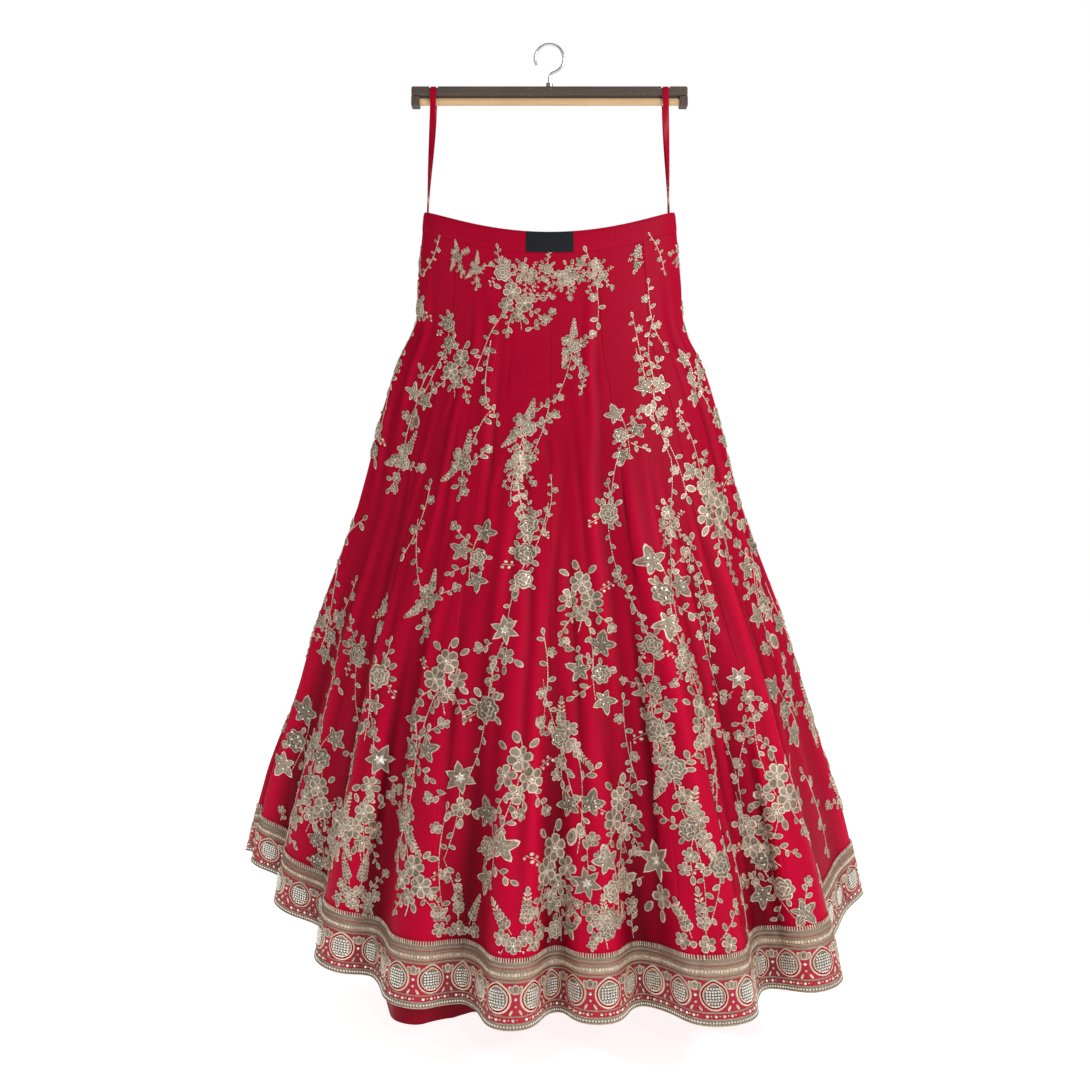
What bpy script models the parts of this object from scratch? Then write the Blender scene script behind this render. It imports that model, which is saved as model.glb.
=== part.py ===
"""Lehenga skirt of twelve kalis on a straight hanger, front facing -Y.

Metres, +Z up. The origin is the top of the rail that the hanger's hook rests on,
so everything hangs below it.
"""
import math

import bmesh
import bpy
import numpy as np
from mathutils import Matrix

SHARP_ANGLE = 50.0

# Seams and cloth walls
SEAM_GAP = 0.0003
KALI_WALL = 0.0018
BORDER_WALL = 0.0010
LINING_WALL = 0.0010
WAISTBAND_INSIDE = -0.0004
WAISTBAND_OUTSIDE = 0.0026
LABEL_WALL = 0.0010
PLACKET_WALL = 0.0010
TAB_WALL = 0.0015
CLASP_SPACE = 0.0022
CLASP_PLATE = 0.0006

# The skirt's levels run from 0 at the waist edge to 1 at the hem
KALI_COUNT = 12
FRONT_COLUMNS = 10
BACK_COLUMNS = 8
WAISTBAND_END = 0.0297
BORDER_TOP = 0.926
KALI_LEVELS = (0.03, 0.10, 0.17, 0.25, 0.33, 0.42, 0.51, 0.60, 0.69, 0.78, 0.86, BORDER_TOP, 1.0)
LINING_LEVELS = (0.86, BORDER_TOP, 1.0)
PLACKET_LEVELS = (0.0302, 0.10, 0.17)

# Heights of the waist edge and of the hem, and the hem's rise at each side with its power
WAIST_AT_SIDES = -0.244
WAIST_FRONT_SAG = 0.041
WAIST_BACK_SAG = 0.034
HEM_FRONT = -1.310
HEM_RISE_RIGHT = (0.075, 6.0)
HEM_RISE_LEFT = (0.112, 4.0)

# level, half width at the sides, front depth, back depth
PROFILE = (
    (0.00, 0.1800, 0.050, 0.044),
    (0.10, 0.1890, 0.056, 0.050),
    (0.17, 0.1955, 0.063, 0.056),
    (0.22, 0.2180, 0.073, 0.064),
    (0.30, 0.2420, 0.090, 0.076),
    (0.38, 0.2620, 0.106, 0.088),
    (0.50, 0.3020, 0.130, 0.105),
    (0.62, 0.3440, 0.152, 0.121),
    (0.74, 0.3770, 0.172, 0.136),
    (0.87, 0.4150, 0.188, 0.150),
    (1.00, 0.4400, 0.200, 0.162),
)

# angle in degrees from the front centre towards +X, height at the hem,
# half width in degrees, level where it starts, lean of its flanks
FOLDS = (
    (-6.0, 0.075, 9.0, 0.40, 0.50),
    (7.5, 0.058, 9.0, 0.50, 0.45),
    (27.0, 0.085, 14.0, 0.22, 0.60),
    (49.5, 0.060, 12.0, 0.38, 0.50),
    (86.0, 0.018, 17.0, 0.50, 0.00),
    (-24.0, 0.040, 9.5, 0.45, 0.45),
    (-40.0, 0.055, 9.0, 0.30, 0.50),
    (-57.0, 0.042, 10.0, 0.48, 0.35),
    (-76.0, 0.026, 12.0, 0.35, 0.20),
    (-98.0, 0.034, 15.0, 0.50, 0.00),
    (118.0, 0.040, 14.0, 0.35, 0.20),
    (142.0, 0.046, 11.0, 0.30, 0.40),
    (161.0, 0.036, 9.0, 0.50, 0.40),
    (178.0, 0.050, 9.0, 0.35, 0.50),
    (196.0, 0.034, 9.0, 0.55, 0.40),
    (213.0, 0.050, 10.0, 0.28, 0.45),
    (234.0, 0.042, 12.0, 0.42, 0.30),
)

# Where the front hangs back towards the wall:
# angle in degrees, depth lost at the hem, half width in degrees
HOLLOWS = (
    (-58.0, 0.100, 42.0),
    (-90.0, 0.090, 75.0),
    (76.0, 0.045, 30.0),
)
FOLD_GROWTH = 1.35
HOLLOW_GROWTH = 1.30

# Where the lining hangs below the hem
LINING_DROP_ANGLE = -22.0
LINING_DROP_WIDTH = 13.5
LINING_DROP_FLATNESS = 1.8
LINING_BOTTOM = -1.330
LINING_DROP_INSET = 0.006

# Label and closure, in columns of cloth from the front centre or the side seam
SIDE_SEAM = 0.25
LABEL_COLUMNS = 5
PLACKET_COLUMNS = 2
TAB_COLUMNS = 3
CLASP_LEVELS = (0.009, 0.021)

# Hanger
BAR_LENGTH = 0.400
BAR_TOP = -0.0610
BAR_HEIGHT = 0.0145
BAR_DEPTH = 0.0140
BAR_EDGE = 0.0025
HOLDER_EDGE = 0.0010
NOTCH_PLACE = 0.168
NOTCH_WIDTH = 0.013
NOTCH_DEPTH = 0.0030
ROD_DIAMETER = 0.0106
ROD_CENTRE = -0.0820
ROUND_SIDES = 20
HOLDER_LENGTH = 0.012
HOLDER_DEPTH = 0.016
HOLDER_BELOW_ROD = 0.0025
HOLDER_GRIP = 0.008
HOOK_WIRE = 0.0040
HOOK_INSIDE_RADIUS = 0.0190
HOOK_START_ANGLE = -62.0
HOOK_END_ANGLE = 206.0
HOOK_STEPS = 26
# above the foot of the hook's arc: where its straight stem ends and where it bends over
HOOK_STEM_END = -0.0095
HOOK_STEM_LEAN = (0.0012, -0.0055)
HOOK_BEND = (0.42, -0.0023)
FERRULE_DIAMETER = 0.0095
FERRULE_HEIGHT = 0.0055

# Ribbon loops that hold the waist
RIBBON_WIDTH = 0.0085
RIBBON_WALL = 0.0012
RIBBON_STEPS = 12
RIBBON_TAIL = 0.022
RIBBON_INSET = 0.0026
RIBBON_CLEARANCE = 0.0008
RIBBON_SHOULDER = 0.0016
# share of the leg's height before it starts to twist, and how fast it twists
RIBBON_TWIST_START = 0.20
RIBBON_TWIST_RATE = 1.35
# over the bar's edges: distance in from the leg, distance below the top, and the inner face's direction
RIBBON_OVER_BAR = (
    (0.0009, 0.0003, (0.0, 0.7, -0.7)),
    (0.0035, 0.0000, (0.0, 0.0, -1.0)),
)

ANGLES = np.radians(np.linspace(0.0, 360.0, 1441))


def smooth_column(level, column):
    """Value of a PROFILE column at a level, on a smooth curve through its rows."""
    levels = np.array([row[0] for row in PROFILE])
    values = np.array([row[column] for row in PROFILE])
    slopes = np.gradient(values, levels)
    i = int(np.clip(np.searchsorted(levels, level) - 1, 0, len(levels) - 2))
    span = levels[i + 1] - levels[i]
    q = (level - levels[i]) / span
    rise = values[i] * (1 + 2 * q) * (1 - q) ** 2 + values[i + 1] * q * q * (3 - 2 * q)
    lean = slopes[i] * q * (1 - q) ** 2 - slopes[i + 1] * q * q * (1 - q)
    return float(rise + span * lean)


def distance_from(angle_deg, half_width_deg):
    """Each angle's distance from a fold's centre, in half widths."""
    away = np.degrees(ANGLES) - angle_deg
    away = (away + 180.0) % 360.0 - 180.0
    return away / half_width_deg


def bump(q):
    """A hill that is 1 at its centre and level with the ground at its ends."""
    return np.where(np.abs(q) < 1.0, 0.5 + 0.5 * np.cos(np.pi * q), 0.0)


def growth(level, start, power):
    return max(0.0, (level - start) / (1.0 - start)) ** power


def ring(level):
    """The cloth's inner line round the skirt at a level, as points by ANGLES."""
    half_width = smooth_column(level, 1)
    depth = np.where(np.cos(ANGLES) > 0, smooth_column(level, 2), smooth_column(level, 3))
    angles = ANGLES.copy()
    height = np.zeros_like(ANGLES)
    for angle, rise, width, start, lean in FOLDS:
        q = distance_from(angle, width)
        strength = growth(level, start, FOLD_GROWTH)
        height += rise * strength * bump(q)
        window = np.clip(1.0 - q * q, 0.0, None) ** 2
        sway = lean * math.radians(width) * np.sin(2 * np.pi * q) / (2 * np.pi)
        angles += sway * window * min(1.0, 2.0 * strength)
    across, forward = np.sin(angles), np.cos(angles)
    outward_x, outward_y = across / half_width, -forward / depth
    outward = np.hypot(outward_x, outward_y)
    x = half_width * across + height * outward_x / outward
    y = -depth * forward + height * outward_y / outward
    for angle, loss, width in HOLLOWS:
        y += loss * growth(level, 0.0, HOLLOW_GROWTH) * bump(distance_from(angle, width))
    sag = np.where(np.cos(ANGLES) > 0, WAIST_FRONT_SAG, WAIST_BACK_SAG) * np.cos(ANGLES) ** 2
    sideways = np.abs(np.sin(ANGLES))
    rises = [rise * sideways ** power for rise, power in (HEM_RISE_RIGHT, HEM_RISE_LEFT)]
    hem = HEM_FRONT + np.where(np.sin(ANGLES) > 0, rises[0], rises[1])
    z = (WAIST_AT_SIDES - sag) * (1.0 - level) + hem * level
    return np.stack([x, y, z], axis=1)


def girth(level):
    return float(np.linalg.norm(np.diff(ring(level), axis=0), axis=1).sum())


def along_ring(turns, level):
    """Points at parts of a turn, measured along the cloth from the front centre."""
    points = ring(level)
    steps = np.linalg.norm(np.diff(points, axis=0), axis=1)
    travelled = np.concatenate([[0.0], np.cumsum(steps)])
    wanted = (np.asarray(turns) % 1.0) * travelled[-1]
    return np.stack([np.interp(wanted, travelled, points[:, k]) for k in range(3)], axis=1)


def directions_at(turns, level):
    """The cloth's outward direction, and the direction across a seam towards more turn."""
    turn_step, level_step = 0.0015, 0.01
    turns = np.asarray(turns)
    around = along_ring(turns + turn_step, level) - along_ring(turns - turn_step, level)
    down = along_ring(turns, level + level_step) - along_ring(turns, level - level_step)
    outward = np.cross(down, around)
    outward /= np.linalg.norm(outward, axis=1)[:, None]
    across = np.cross(outward, down)
    return outward, across / np.linalg.norm(across, axis=1)[:, None]


def kali_columns(index):
    """Kalis -3 to 2 are the front from -X to +X, and 3 to 8 are the back."""
    return FRONT_COLUMNS if index < 3 else BACK_COLUMNS


def all_columns():
    """The turn of every column of cloth, from the -X side seam all round to it."""
    turns = []
    for index in range(-3, 9):
        count = kali_columns(index)
        turns += [(index + step / count) / KALI_COUNT for step in range(count)]
    return turns + [0.75]


COLUMNS = all_columns()


def column_turns(start, end):
    slack = 0.0001
    return np.array([turn for turn in COLUMNS if start - slack <= turn <= end + slack])


def cloth_rows(turns, levels, offset):
    """Rows of points at these turns, moved out from the inner line, half a gap short."""
    rows = []
    for level in levels:
        outward, across = directions_at(turns, level)
        row = along_ring(turns, level) + outward * offset
        row[0] += across[0] * SEAM_GAP / 2
        row[-1] -= across[-1] * SEAM_GAP / 2
        rows.append(row)
    return np.array(rows)


def material(name, colour, roughness, metallic=0.0):
    made = bpy.data.materials.new(name)
    made.use_nodes = True
    shader = made.node_tree.nodes["Principled BSDF"]
    shader.inputs["Base Color"].default_value = (*colour, 1.0)
    shader.inputs["Roughness"].default_value = roughness
    shader.inputs["Metallic"].default_value = metallic
    made.diffuse_color = (*colour, 1.0)
    return made


def place(bm, name, finish):
    mesh = bpy.data.meshes.new(name)
    bm.to_mesh(mesh)
    bm.free()
    mesh.materials.append(finish)
    piece = bpy.data.objects.new(name, mesh)
    bpy.context.collection.objects.link(piece)
    return piece


def split_inward(faces):
    """Cut each twisted edge face along the diagonal that dips away from its neighbour."""
    for face in faces:
        a, b, c, d = face.verts
        first = (a.co + c.co).dot(face.normal)
        second = (b.co + d.co).dot(face.normal)
        pair = (a, c) if first <= second else (b, d)
        bmesh.utils.face_split(face, *pair)


def cloth_wall(name, inner, outer, finish):
    """A wall of cloth between two matching sheets of rows."""
    row_count, column_count = inner.shape[:2]
    bm = bmesh.new()
    bmesh.ops.create_grid(bm, x_segments=column_count - 1, y_segments=row_count - 1, size=0.5)
    inside = list(bm.verts)
    inside_set = set(inside)
    grown = bmesh.ops.extrude_face_region(bm, geom=bm.faces[:])["geom"]
    outside = [v for v in grown if isinstance(v, bmesh.types.BMVert)]
    for sheet, verts in ((inner, inside), (outer, outside)):
        for v in verts:
            column = round((v.co.x + 0.5) * (column_count - 1))
            row = row_count - 1 - round((v.co.y + 0.5) * (row_count - 1))
            v.co = sheet[row, column]
    bmesh.ops.recalc_face_normals(bm, faces=bm.faces[:])
    edge_faces = [f for f in bm.faces if len({v in inside_set for v in f.verts}) == 2]
    split_inward(edge_faces)
    sheets = [f for f in bm.faces if len(f.verts) == 4]
    bmesh.ops.triangulate(bm, faces=sheets, quad_method="FIXED")
    piece = place(bm, name, finish)
    piece.data.shade_smooth()
    piece.data.set_sharp_from_angle(angle=math.radians(SHARP_ANGLE))
    return piece


def cloth_piece(name, turns, levels, inside, outside, finish):
    inner = cloth_rows(turns, levels, inside)
    outer = cloth_rows(turns, levels, outside)
    cloth_wall(name, inner, outer, finish)


def kali_place(index):
    return f"front_{index + 4}" if index < 3 else f"back_{index - 2}"


def kali(index, finish):
    turns = column_turns(index / KALI_COUNT, (index + 1) / KALI_COUNT)
    cloth_piece(f"kali_{kali_place(index)}", turns, KALI_LEVELS, 0.0, KALI_WALL, finish)


def half_turns(side):
    return column_turns(-0.25, 0.25) if side == "front" else column_turns(0.25, 0.75)


def hem_border(side, finish):
    near = KALI_WALL + SEAM_GAP
    levels = (BORDER_TOP, 1.0)
    cloth_piece(f"hem_border_{side}", half_turns(side), levels, near, near + BORDER_WALL, finish)


def lining(index, finish):
    """The lining's lower edge in a kali, which hangs below the hem at one place in front."""
    turns = column_turns(index / KALI_COUNT, (index + 1) / KALI_COUNT)
    outer = cloth_rows(turns, LINING_LEVELS, -SEAM_GAP)
    inner = cloth_rows(turns, LINING_LEVELS, -SEAM_GAP - LINING_WALL)
    if index < 3:
        edge = along_ring(turns, 1.0)
        flatness = smooth_column(1.0, 2) / smooth_column(1.0, 1)
        angles = np.degrees(np.arctan2(edge[:, 0] * flatness, -edge[:, 1]))
        drop = bump((angles - LINING_DROP_ANGLE) / LINING_DROP_WIDTH) * LINING_DROP_FLATNESS
        drop = np.minimum(1.0, drop)
        inward = -directions_at(turns, 1.0)[0]
        for sheet in (inner, outer):
            sheet[-1] += inward * drop[:, None] * LINING_DROP_INSET
            sheet[-1, :, 2] -= drop * np.maximum(0.0, edge[:, 2] - LINING_BOTTOM)
    cloth_wall(f"lining_{kali_place(index)}", inner, outer, finish)


def waistband(side, finish):
    levels = (0.0, WAISTBAND_END)
    cloth_piece(f"waistband_{side}", half_turns(side), levels, WAISTBAND_INSIDE, WAISTBAND_OUTSIDE, finish)


def label(finish):
    """A plain satin tag on the waistband, at the front centre."""
    reach = LABEL_COLUMNS / KALI_COUNT / FRONT_COLUMNS
    turns = column_turns(-reach, reach)
    near = WAISTBAND_OUTSIDE + SEAM_GAP
    cloth_piece("maker_label", turns, (0.0, WAISTBAND_END), near, near + LABEL_WALL, finish)


def closure(cloth, metal):
    """The side opening's placket, the waistband's tab, and the hook and bar between."""
    front_step = 1 / KALI_COUNT / FRONT_COLUMNS
    back_step = 1 / KALI_COUNT / BACK_COLUMNS
    turns = column_turns(SIDE_SEAM - PLACKET_COLUMNS * front_step, SIDE_SEAM + PLACKET_COLUMNS * back_step)
    cloth_piece("side_placket", turns, PLACKET_LEVELS, -SEAM_GAP - PLACKET_WALL, -SEAM_GAP, cloth)
    tab_face = WAISTBAND_INSIDE - CLASP_SPACE
    turns = column_turns(SIDE_SEAM - TAB_COLUMNS * front_step, SIDE_SEAM + back_step)
    cloth_piece("waist_tab", turns, (0.0, WAISTBAND_END), tab_face - TAB_WALL, tab_face, cloth)
    turns = column_turns(SIDE_SEAM - 2 * front_step, SIDE_SEAM - front_step)
    hook_face = WAISTBAND_INSIDE - SEAM_GAP
    cloth_piece("waist_hook", turns, CLASP_LEVELS, hook_face - CLASP_PLATE, hook_face, metal)
    bar_face = tab_face + SEAM_GAP
    cloth_piece("waist_bar", turns, CLASP_LEVELS, bar_face, bar_face + CLASP_PLATE, metal)


def box(bm, low, high):
    size = [b - a for a, b in zip(low, high)]
    middle = [(a + b) / 2 for a, b in zip(low, high)]
    matrix = Matrix.Translation(middle) @ Matrix.Diagonal((*size, 1.0))
    bmesh.ops.create_cube(bm, size=1.0, matrix=matrix)


def soften(bm, width, segments):
    bmesh.ops.bevel(bm, geom=bm.edges[:], offset=width, segments=segments, profile=0.5,
                    affect="EDGES", clamp_overlap=True)


def cut_with(piece, cutter):
    cutter.hide_render = True
    cutter.display_type = "WIRE"
    modifier = piece.modifiers.new("cut", "BOOLEAN")
    modifier.operation = "DIFFERENCE"
    modifier.object = cutter


def hanger_bar(finish):
    """The dark bar, with a notch near each end for a ribbon loop."""
    half = BAR_LENGTH / 2
    bm = bmesh.new()
    box(bm, (-half, -BAR_DEPTH / 2, BAR_TOP - BAR_HEIGHT), (half, BAR_DEPTH / 2, BAR_TOP))
    soften(bm, BAR_EDGE, 2)
    bar = place(bm, "hanger_bar", finish)
    for side in (-1, 1):
        bm = bmesh.new()
        middle = side * NOTCH_PLACE
        box(bm, (middle - NOTCH_WIDTH / 2, -BAR_DEPTH, BAR_TOP - NOTCH_DEPTH),
            (middle + NOTCH_WIDTH / 2, BAR_DEPTH, BAR_TOP + NOTCH_DEPTH))
        cut_with(bar, place(bm, f"notch_cutter_{side + 2}", finish))


def cylinder(bm, radius, length, matrix, sides):
    bmesh.ops.create_cone(bm, cap_ends=True, segments=sides, radius1=radius, radius2=radius,
                          depth=length, matrix=matrix)


def hanger_rod(wood, dark_wood):
    """The natural rod below the bar, and the blocks that grip its ends."""
    lengthwise = Matrix.Translation((0, 0, ROD_CENTRE)) @ Matrix.Rotation(math.radians(90), 4, "Y")
    inner_end = BAR_LENGTH / 2 - HOLDER_LENGTH
    rod_length = 2 * (inner_end + HOLDER_GRIP)
    bm = bmesh.new()
    cylinder(bm, ROD_DIAMETER / 2, rod_length, lengthwise, ROUND_SIDES)
    rod = place(bm, "hanger_rod", wood)
    rod.data.shade_smooth()
    rod.data.set_sharp_from_angle(angle=math.radians(SHARP_ANGLE))
    for side, name in ((-1, "left"), (1, "right")):
        ends = sorted((side * inner_end, side * BAR_LENGTH / 2))
        bm = bmesh.new()
        low = (ends[0], -HOLDER_DEPTH / 2, ROD_CENTRE - ROD_DIAMETER / 2 - HOLDER_BELOW_ROD)
        high = (ends[1], HOLDER_DEPTH / 2, BAR_TOP - BAR_HEIGHT - SEAM_GAP)
        box(bm, low, high)
        soften(bm, HOLDER_EDGE, 1)
        holder = place(bm, f"rod_holder_{name}", dark_wood)
        bm = bmesh.new()
        cylinder(bm, ROD_DIAMETER / 2 + SEAM_GAP, rod_length + 2 * SEAM_GAP, lengthwise, ROUND_SIDES)
        cut_with(holder, place(bm, f"rod_cutter_{name}", dark_wood))


def hanger_hook(metal):
    """A wire hook whose inner top is the origin, and the ferrule at its foot."""
    centre = -HOOK_INSIDE_RADIUS
    radius = HOOK_INSIDE_RADIUS + HOOK_WIRE / 2
    arc = np.radians(np.linspace(HOOK_START_ANGLE, HOOK_END_ANGLE, HOOK_STEPS))
    points = [(radius * math.cos(a), 0.0, centre + radius * math.sin(a)) for a in arc]
    foot = BAR_TOP + SEAM_GAP
    start_x, start_z = points[0][0], points[0][2]
    stem = [(0.0, 0.0, foot), (0.0, 0.0, start_z + HOOK_STEM_END)]
    bend = [
        (HOOK_STEM_LEAN[0], 0.0, start_z + HOOK_STEM_LEAN[1]),
        (start_x * HOOK_BEND[0], 0.0, start_z + HOOK_BEND[1]),
    ]
    points = stem + bend + points
    curve = bpy.data.curves.new("hanger_hook", "CURVE")
    curve.dimensions = "3D"
    curve.bevel_depth = HOOK_WIRE / 2
    curve.bevel_resolution = 2
    curve.use_fill_caps = True
    spline = curve.splines.new("POLY")
    spline.points.add(len(points) - 1)
    for target, point in zip(spline.points, points):
        target.co = (*point, 1.0)
    curve.materials.append(metal)
    bpy.context.collection.objects.link(bpy.data.objects.new("hanger_hook", curve))
    bm = bmesh.new()
    middle = Matrix.Translation((0, 0, foot + FERRULE_HEIGHT / 2))
    cylinder(bm, FERRULE_DIAMETER / 2, FERRULE_HEIGHT, middle, ROUND_SIDES)
    ferrule = place(bm, "hook_ferrule", metal)
    bm = bmesh.new()
    cylinder(bm, HOOK_WIRE / 2 + SEAM_GAP, 3 * FERRULE_HEIGHT, middle, ROUND_SIDES)
    cut_with(ferrule, place(bm, "ferrule_cutter", metal))


def ribbon_sections(side):
    """Centre, width direction and inner face direction along a ribbon loop.

    Its two ends lie one behind the other inside the waistband with their width
    along Y. Both legs twist the same way to lie across the bar.
    """
    start = along_ring([SIDE_SEAM * side], 0.0)[0]
    inward = -directions_at([SIDE_SEAM * side], 0.0)[0][0]
    sewn = start + inward * (RIBBON_INSET + (CLASP_SPACE + TAB_WALL if side > 0 else 0.0))
    behind = inward * (RIBBON_WALL + SEAM_GAP)
    foot_z = sewn[2] - RIBBON_TAIL
    top_z = BAR_TOP - NOTCH_DEPTH + RIBBON_CLEARANCE + RIBBON_WALL / 2
    over = BAR_DEPTH / 2 + RIBBON_CLEARANCE + RIBBON_WALL / 2
    rising, falling = [], []
    for part in np.linspace(0.0, 1.0, RIBBON_STEPS):
        ease = part * part * (3 - 2 * part)
        x = sewn[0] + (side * NOTCH_PLACE - sewn[0]) * ease
        z = foot_z + (top_z - RIBBON_SHOULDER - foot_z) * part
        turn = math.radians(90.0) * min(1.0, max(0.0, RIBBON_TWIST_RATE * part - RIBBON_TWIST_START))
        width = (-side * math.sin(turn), -math.cos(turn), 0.0)
        face = (-side * math.cos(turn), math.sin(turn), 0.0)
        sewn_y = sewn[1] * (1.0 - ease)
        rising.append(((x, sewn_y - over * ease, z), width, face))
        shift = behind * (1.0 - ease)
        falling.append(((x + shift[0], sewn_y + shift[1] + over * ease, z), width, face))
    across = (-side, 0.0, 0.0)
    for inset, below, face in RIBBON_OVER_BAR:
        rising.append(((side * NOTCH_PLACE, inset - over, top_z - below), across, face))
        falling.append(((side * NOTCH_PLACE, over - inset, top_z - below), across, face))
    falling = [(centre, width, (-f[0], -f[1], f[2])) for centre, width, f in reversed(falling)]
    return rising + falling


def ribbon_loop(side, name, finish):
    inner, outer = [], []
    for section in ribbon_sections(side):
        centre, width, face = (np.array(v, dtype=float) for v in section)
        across = width / np.linalg.norm(width) * RIBBON_WIDTH / 2
        thick = face / np.linalg.norm(face) * RIBBON_WALL / 2
        inner.append([centre - across + thick, centre + across + thick])
        outer.append([centre - across - thick, centre + across - thick])
    cloth_wall(name, np.array(inner), np.array(outer), finish)


def build():
    for old in list(bpy.data.objects):
        bpy.data.objects.remove(old, do_unlink=True)
    silk = material("crimson_silk", (0.42, 0.003, 0.016), 0.55)
    lining_satin = material("red_lining", (0.30, 0.004, 0.012), 0.42)
    zari = material("antique_zari", (0.50, 0.40, 0.26), 0.42, 0.6)
    ribbon = material("red_ribbon", (0.36, 0.004, 0.014), 0.40)
    satin = material("charcoal_satin", (0.018, 0.019, 0.022), 0.40)
    dark_wood = material("dark_wood", (0.085, 0.055, 0.045), 0.60)
    pale_wood = material("pale_wood", (0.62, 0.42, 0.22), 0.50)
    steel = material("steel", (0.60, 0.60, 0.62), 0.28, 1.0)
    for index in range(-3, 9):
        kali(index, silk)
        lining(index, lining_satin)
    for side in ("front", "back"):
        hem_border(side, zari)
        waistband(side, silk)
    label(satin)
    closure(lining_satin, steel)
    hanger_bar(dark_wood)
    hanger_rod(pale_wood, dark_wood)
    hanger_hook(steel)
    ribbon_loop(-1, "ribbon_loop_left", ribbon)
    ribbon_loop(1, "ribbon_loop_right", ribbon)


build()
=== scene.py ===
import math
import random

import bmesh
import bpy
import numpy as np
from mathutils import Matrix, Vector


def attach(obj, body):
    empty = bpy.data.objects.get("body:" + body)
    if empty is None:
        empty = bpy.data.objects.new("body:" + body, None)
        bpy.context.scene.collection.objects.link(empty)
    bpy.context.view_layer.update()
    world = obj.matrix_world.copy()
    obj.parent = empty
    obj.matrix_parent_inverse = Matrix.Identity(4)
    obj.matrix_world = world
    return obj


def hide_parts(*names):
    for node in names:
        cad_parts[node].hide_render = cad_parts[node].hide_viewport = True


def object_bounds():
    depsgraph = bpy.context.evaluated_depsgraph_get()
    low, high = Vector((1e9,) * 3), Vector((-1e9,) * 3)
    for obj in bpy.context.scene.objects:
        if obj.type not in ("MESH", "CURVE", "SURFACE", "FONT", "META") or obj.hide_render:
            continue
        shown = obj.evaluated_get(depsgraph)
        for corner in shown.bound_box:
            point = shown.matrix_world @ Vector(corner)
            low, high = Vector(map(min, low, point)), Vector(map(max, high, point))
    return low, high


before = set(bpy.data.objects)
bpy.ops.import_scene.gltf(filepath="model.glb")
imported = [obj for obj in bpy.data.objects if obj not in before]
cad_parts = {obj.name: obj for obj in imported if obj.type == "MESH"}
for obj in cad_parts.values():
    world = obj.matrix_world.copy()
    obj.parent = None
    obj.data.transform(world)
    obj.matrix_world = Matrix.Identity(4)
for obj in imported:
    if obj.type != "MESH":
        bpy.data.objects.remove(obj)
cadBox = [list(corner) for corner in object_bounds()]
random.seed(41)


# the cloth's shape: the same rings, folds and hollows as the solids

skirtShape = {
    # level, half width at the sides, front depth, back depth
    "profile": (
        (0.00, 0.1800, 0.050, 0.044), (0.10, 0.1890, 0.056, 0.050), (0.17, 0.1955, 0.063, 0.056),
        (0.22, 0.2180, 0.073, 0.064), (0.30, 0.2420, 0.090, 0.076), (0.38, 0.2620, 0.106, 0.088),
        (0.50, 0.3020, 0.130, 0.105), (0.62, 0.3440, 0.152, 0.121), (0.74, 0.3770, 0.172, 0.136),
        (0.87, 0.4150, 0.188, 0.150), (1.00, 0.4400, 0.200, 0.162)),
    # angle, height at the hem, half width, level where it starts, lean
    "folds": (
        (-6.0, 0.075, 9.0, 0.40, 0.50), (7.5, 0.058, 9.0, 0.50, 0.45), (27.0, 0.085, 14.0, 0.22, 0.60),
        (49.5, 0.060, 12.0, 0.38, 0.50), (86.0, 0.018, 17.0, 0.50, 0.00), (-24.0, 0.040, 9.5, 0.45, 0.45),
        (-40.0, 0.055, 9.0, 0.30, 0.50), (-57.0, 0.042, 10.0, 0.48, 0.35), (-76.0, 0.026, 12.0, 0.35, 0.20),
        (-98.0, 0.034, 15.0, 0.50, 0.00), (118.0, 0.040, 14.0, 0.35, 0.20), (142.0, 0.046, 11.0, 0.30, 0.40),
        (161.0, 0.036, 9.0, 0.50, 0.40), (178.0, 0.050, 9.0, 0.35, 0.50), (196.0, 0.034, 9.0, 0.55, 0.40),
        (213.0, 0.050, 10.0, 0.28, 0.45), (234.0, 0.042, 12.0, 0.42, 0.30)),
    # angle, depth lost at the hem, half width
    "hollows": ((-58.0, 0.100, 42.0), (-90.0, 0.090, 75.0), (76.0, 0.045, 30.0)),
    "foldGrowth": 1.35, "hollowGrowth": 1.30,
    "waistSides": -0.244, "frontSag": 0.041, "backSag": 0.034,
    "hem": -1.310, "riseRight": (0.075, 6.0), "riseLeft": (0.112, 4.0),
}
angles = np.radians(np.linspace(0.0, 360.0, 1441))


def profileAt(level, column):
    rows = np.array(skirtShape["profile"])
    levels, values = rows[:, 0], rows[:, column]
    slopes = np.gradient(values, levels)
    i = int(np.clip(np.searchsorted(levels, level) - 1, 0, len(levels) - 2))
    span = levels[i + 1] - levels[i]
    q = (level - levels[i]) / span
    rise = values[i] * (1 + 2 * q) * (1 - q) ** 2 + values[i + 1] * q * q * (3 - 2 * q)
    return rise + span * (slopes[i] * q * (1 - q) ** 2 - slopes[i + 1] * q * q * (1 - q))


def hill(q):
    return np.where(np.abs(q) < 1.0, 0.5 + 0.5 * np.cos(np.pi * q), 0.0)


def angleAway(centre, halfWidth):
    return ((np.degrees(angles) - centre + 180.0) % 360.0 - 180.0) / halfWidth


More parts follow.
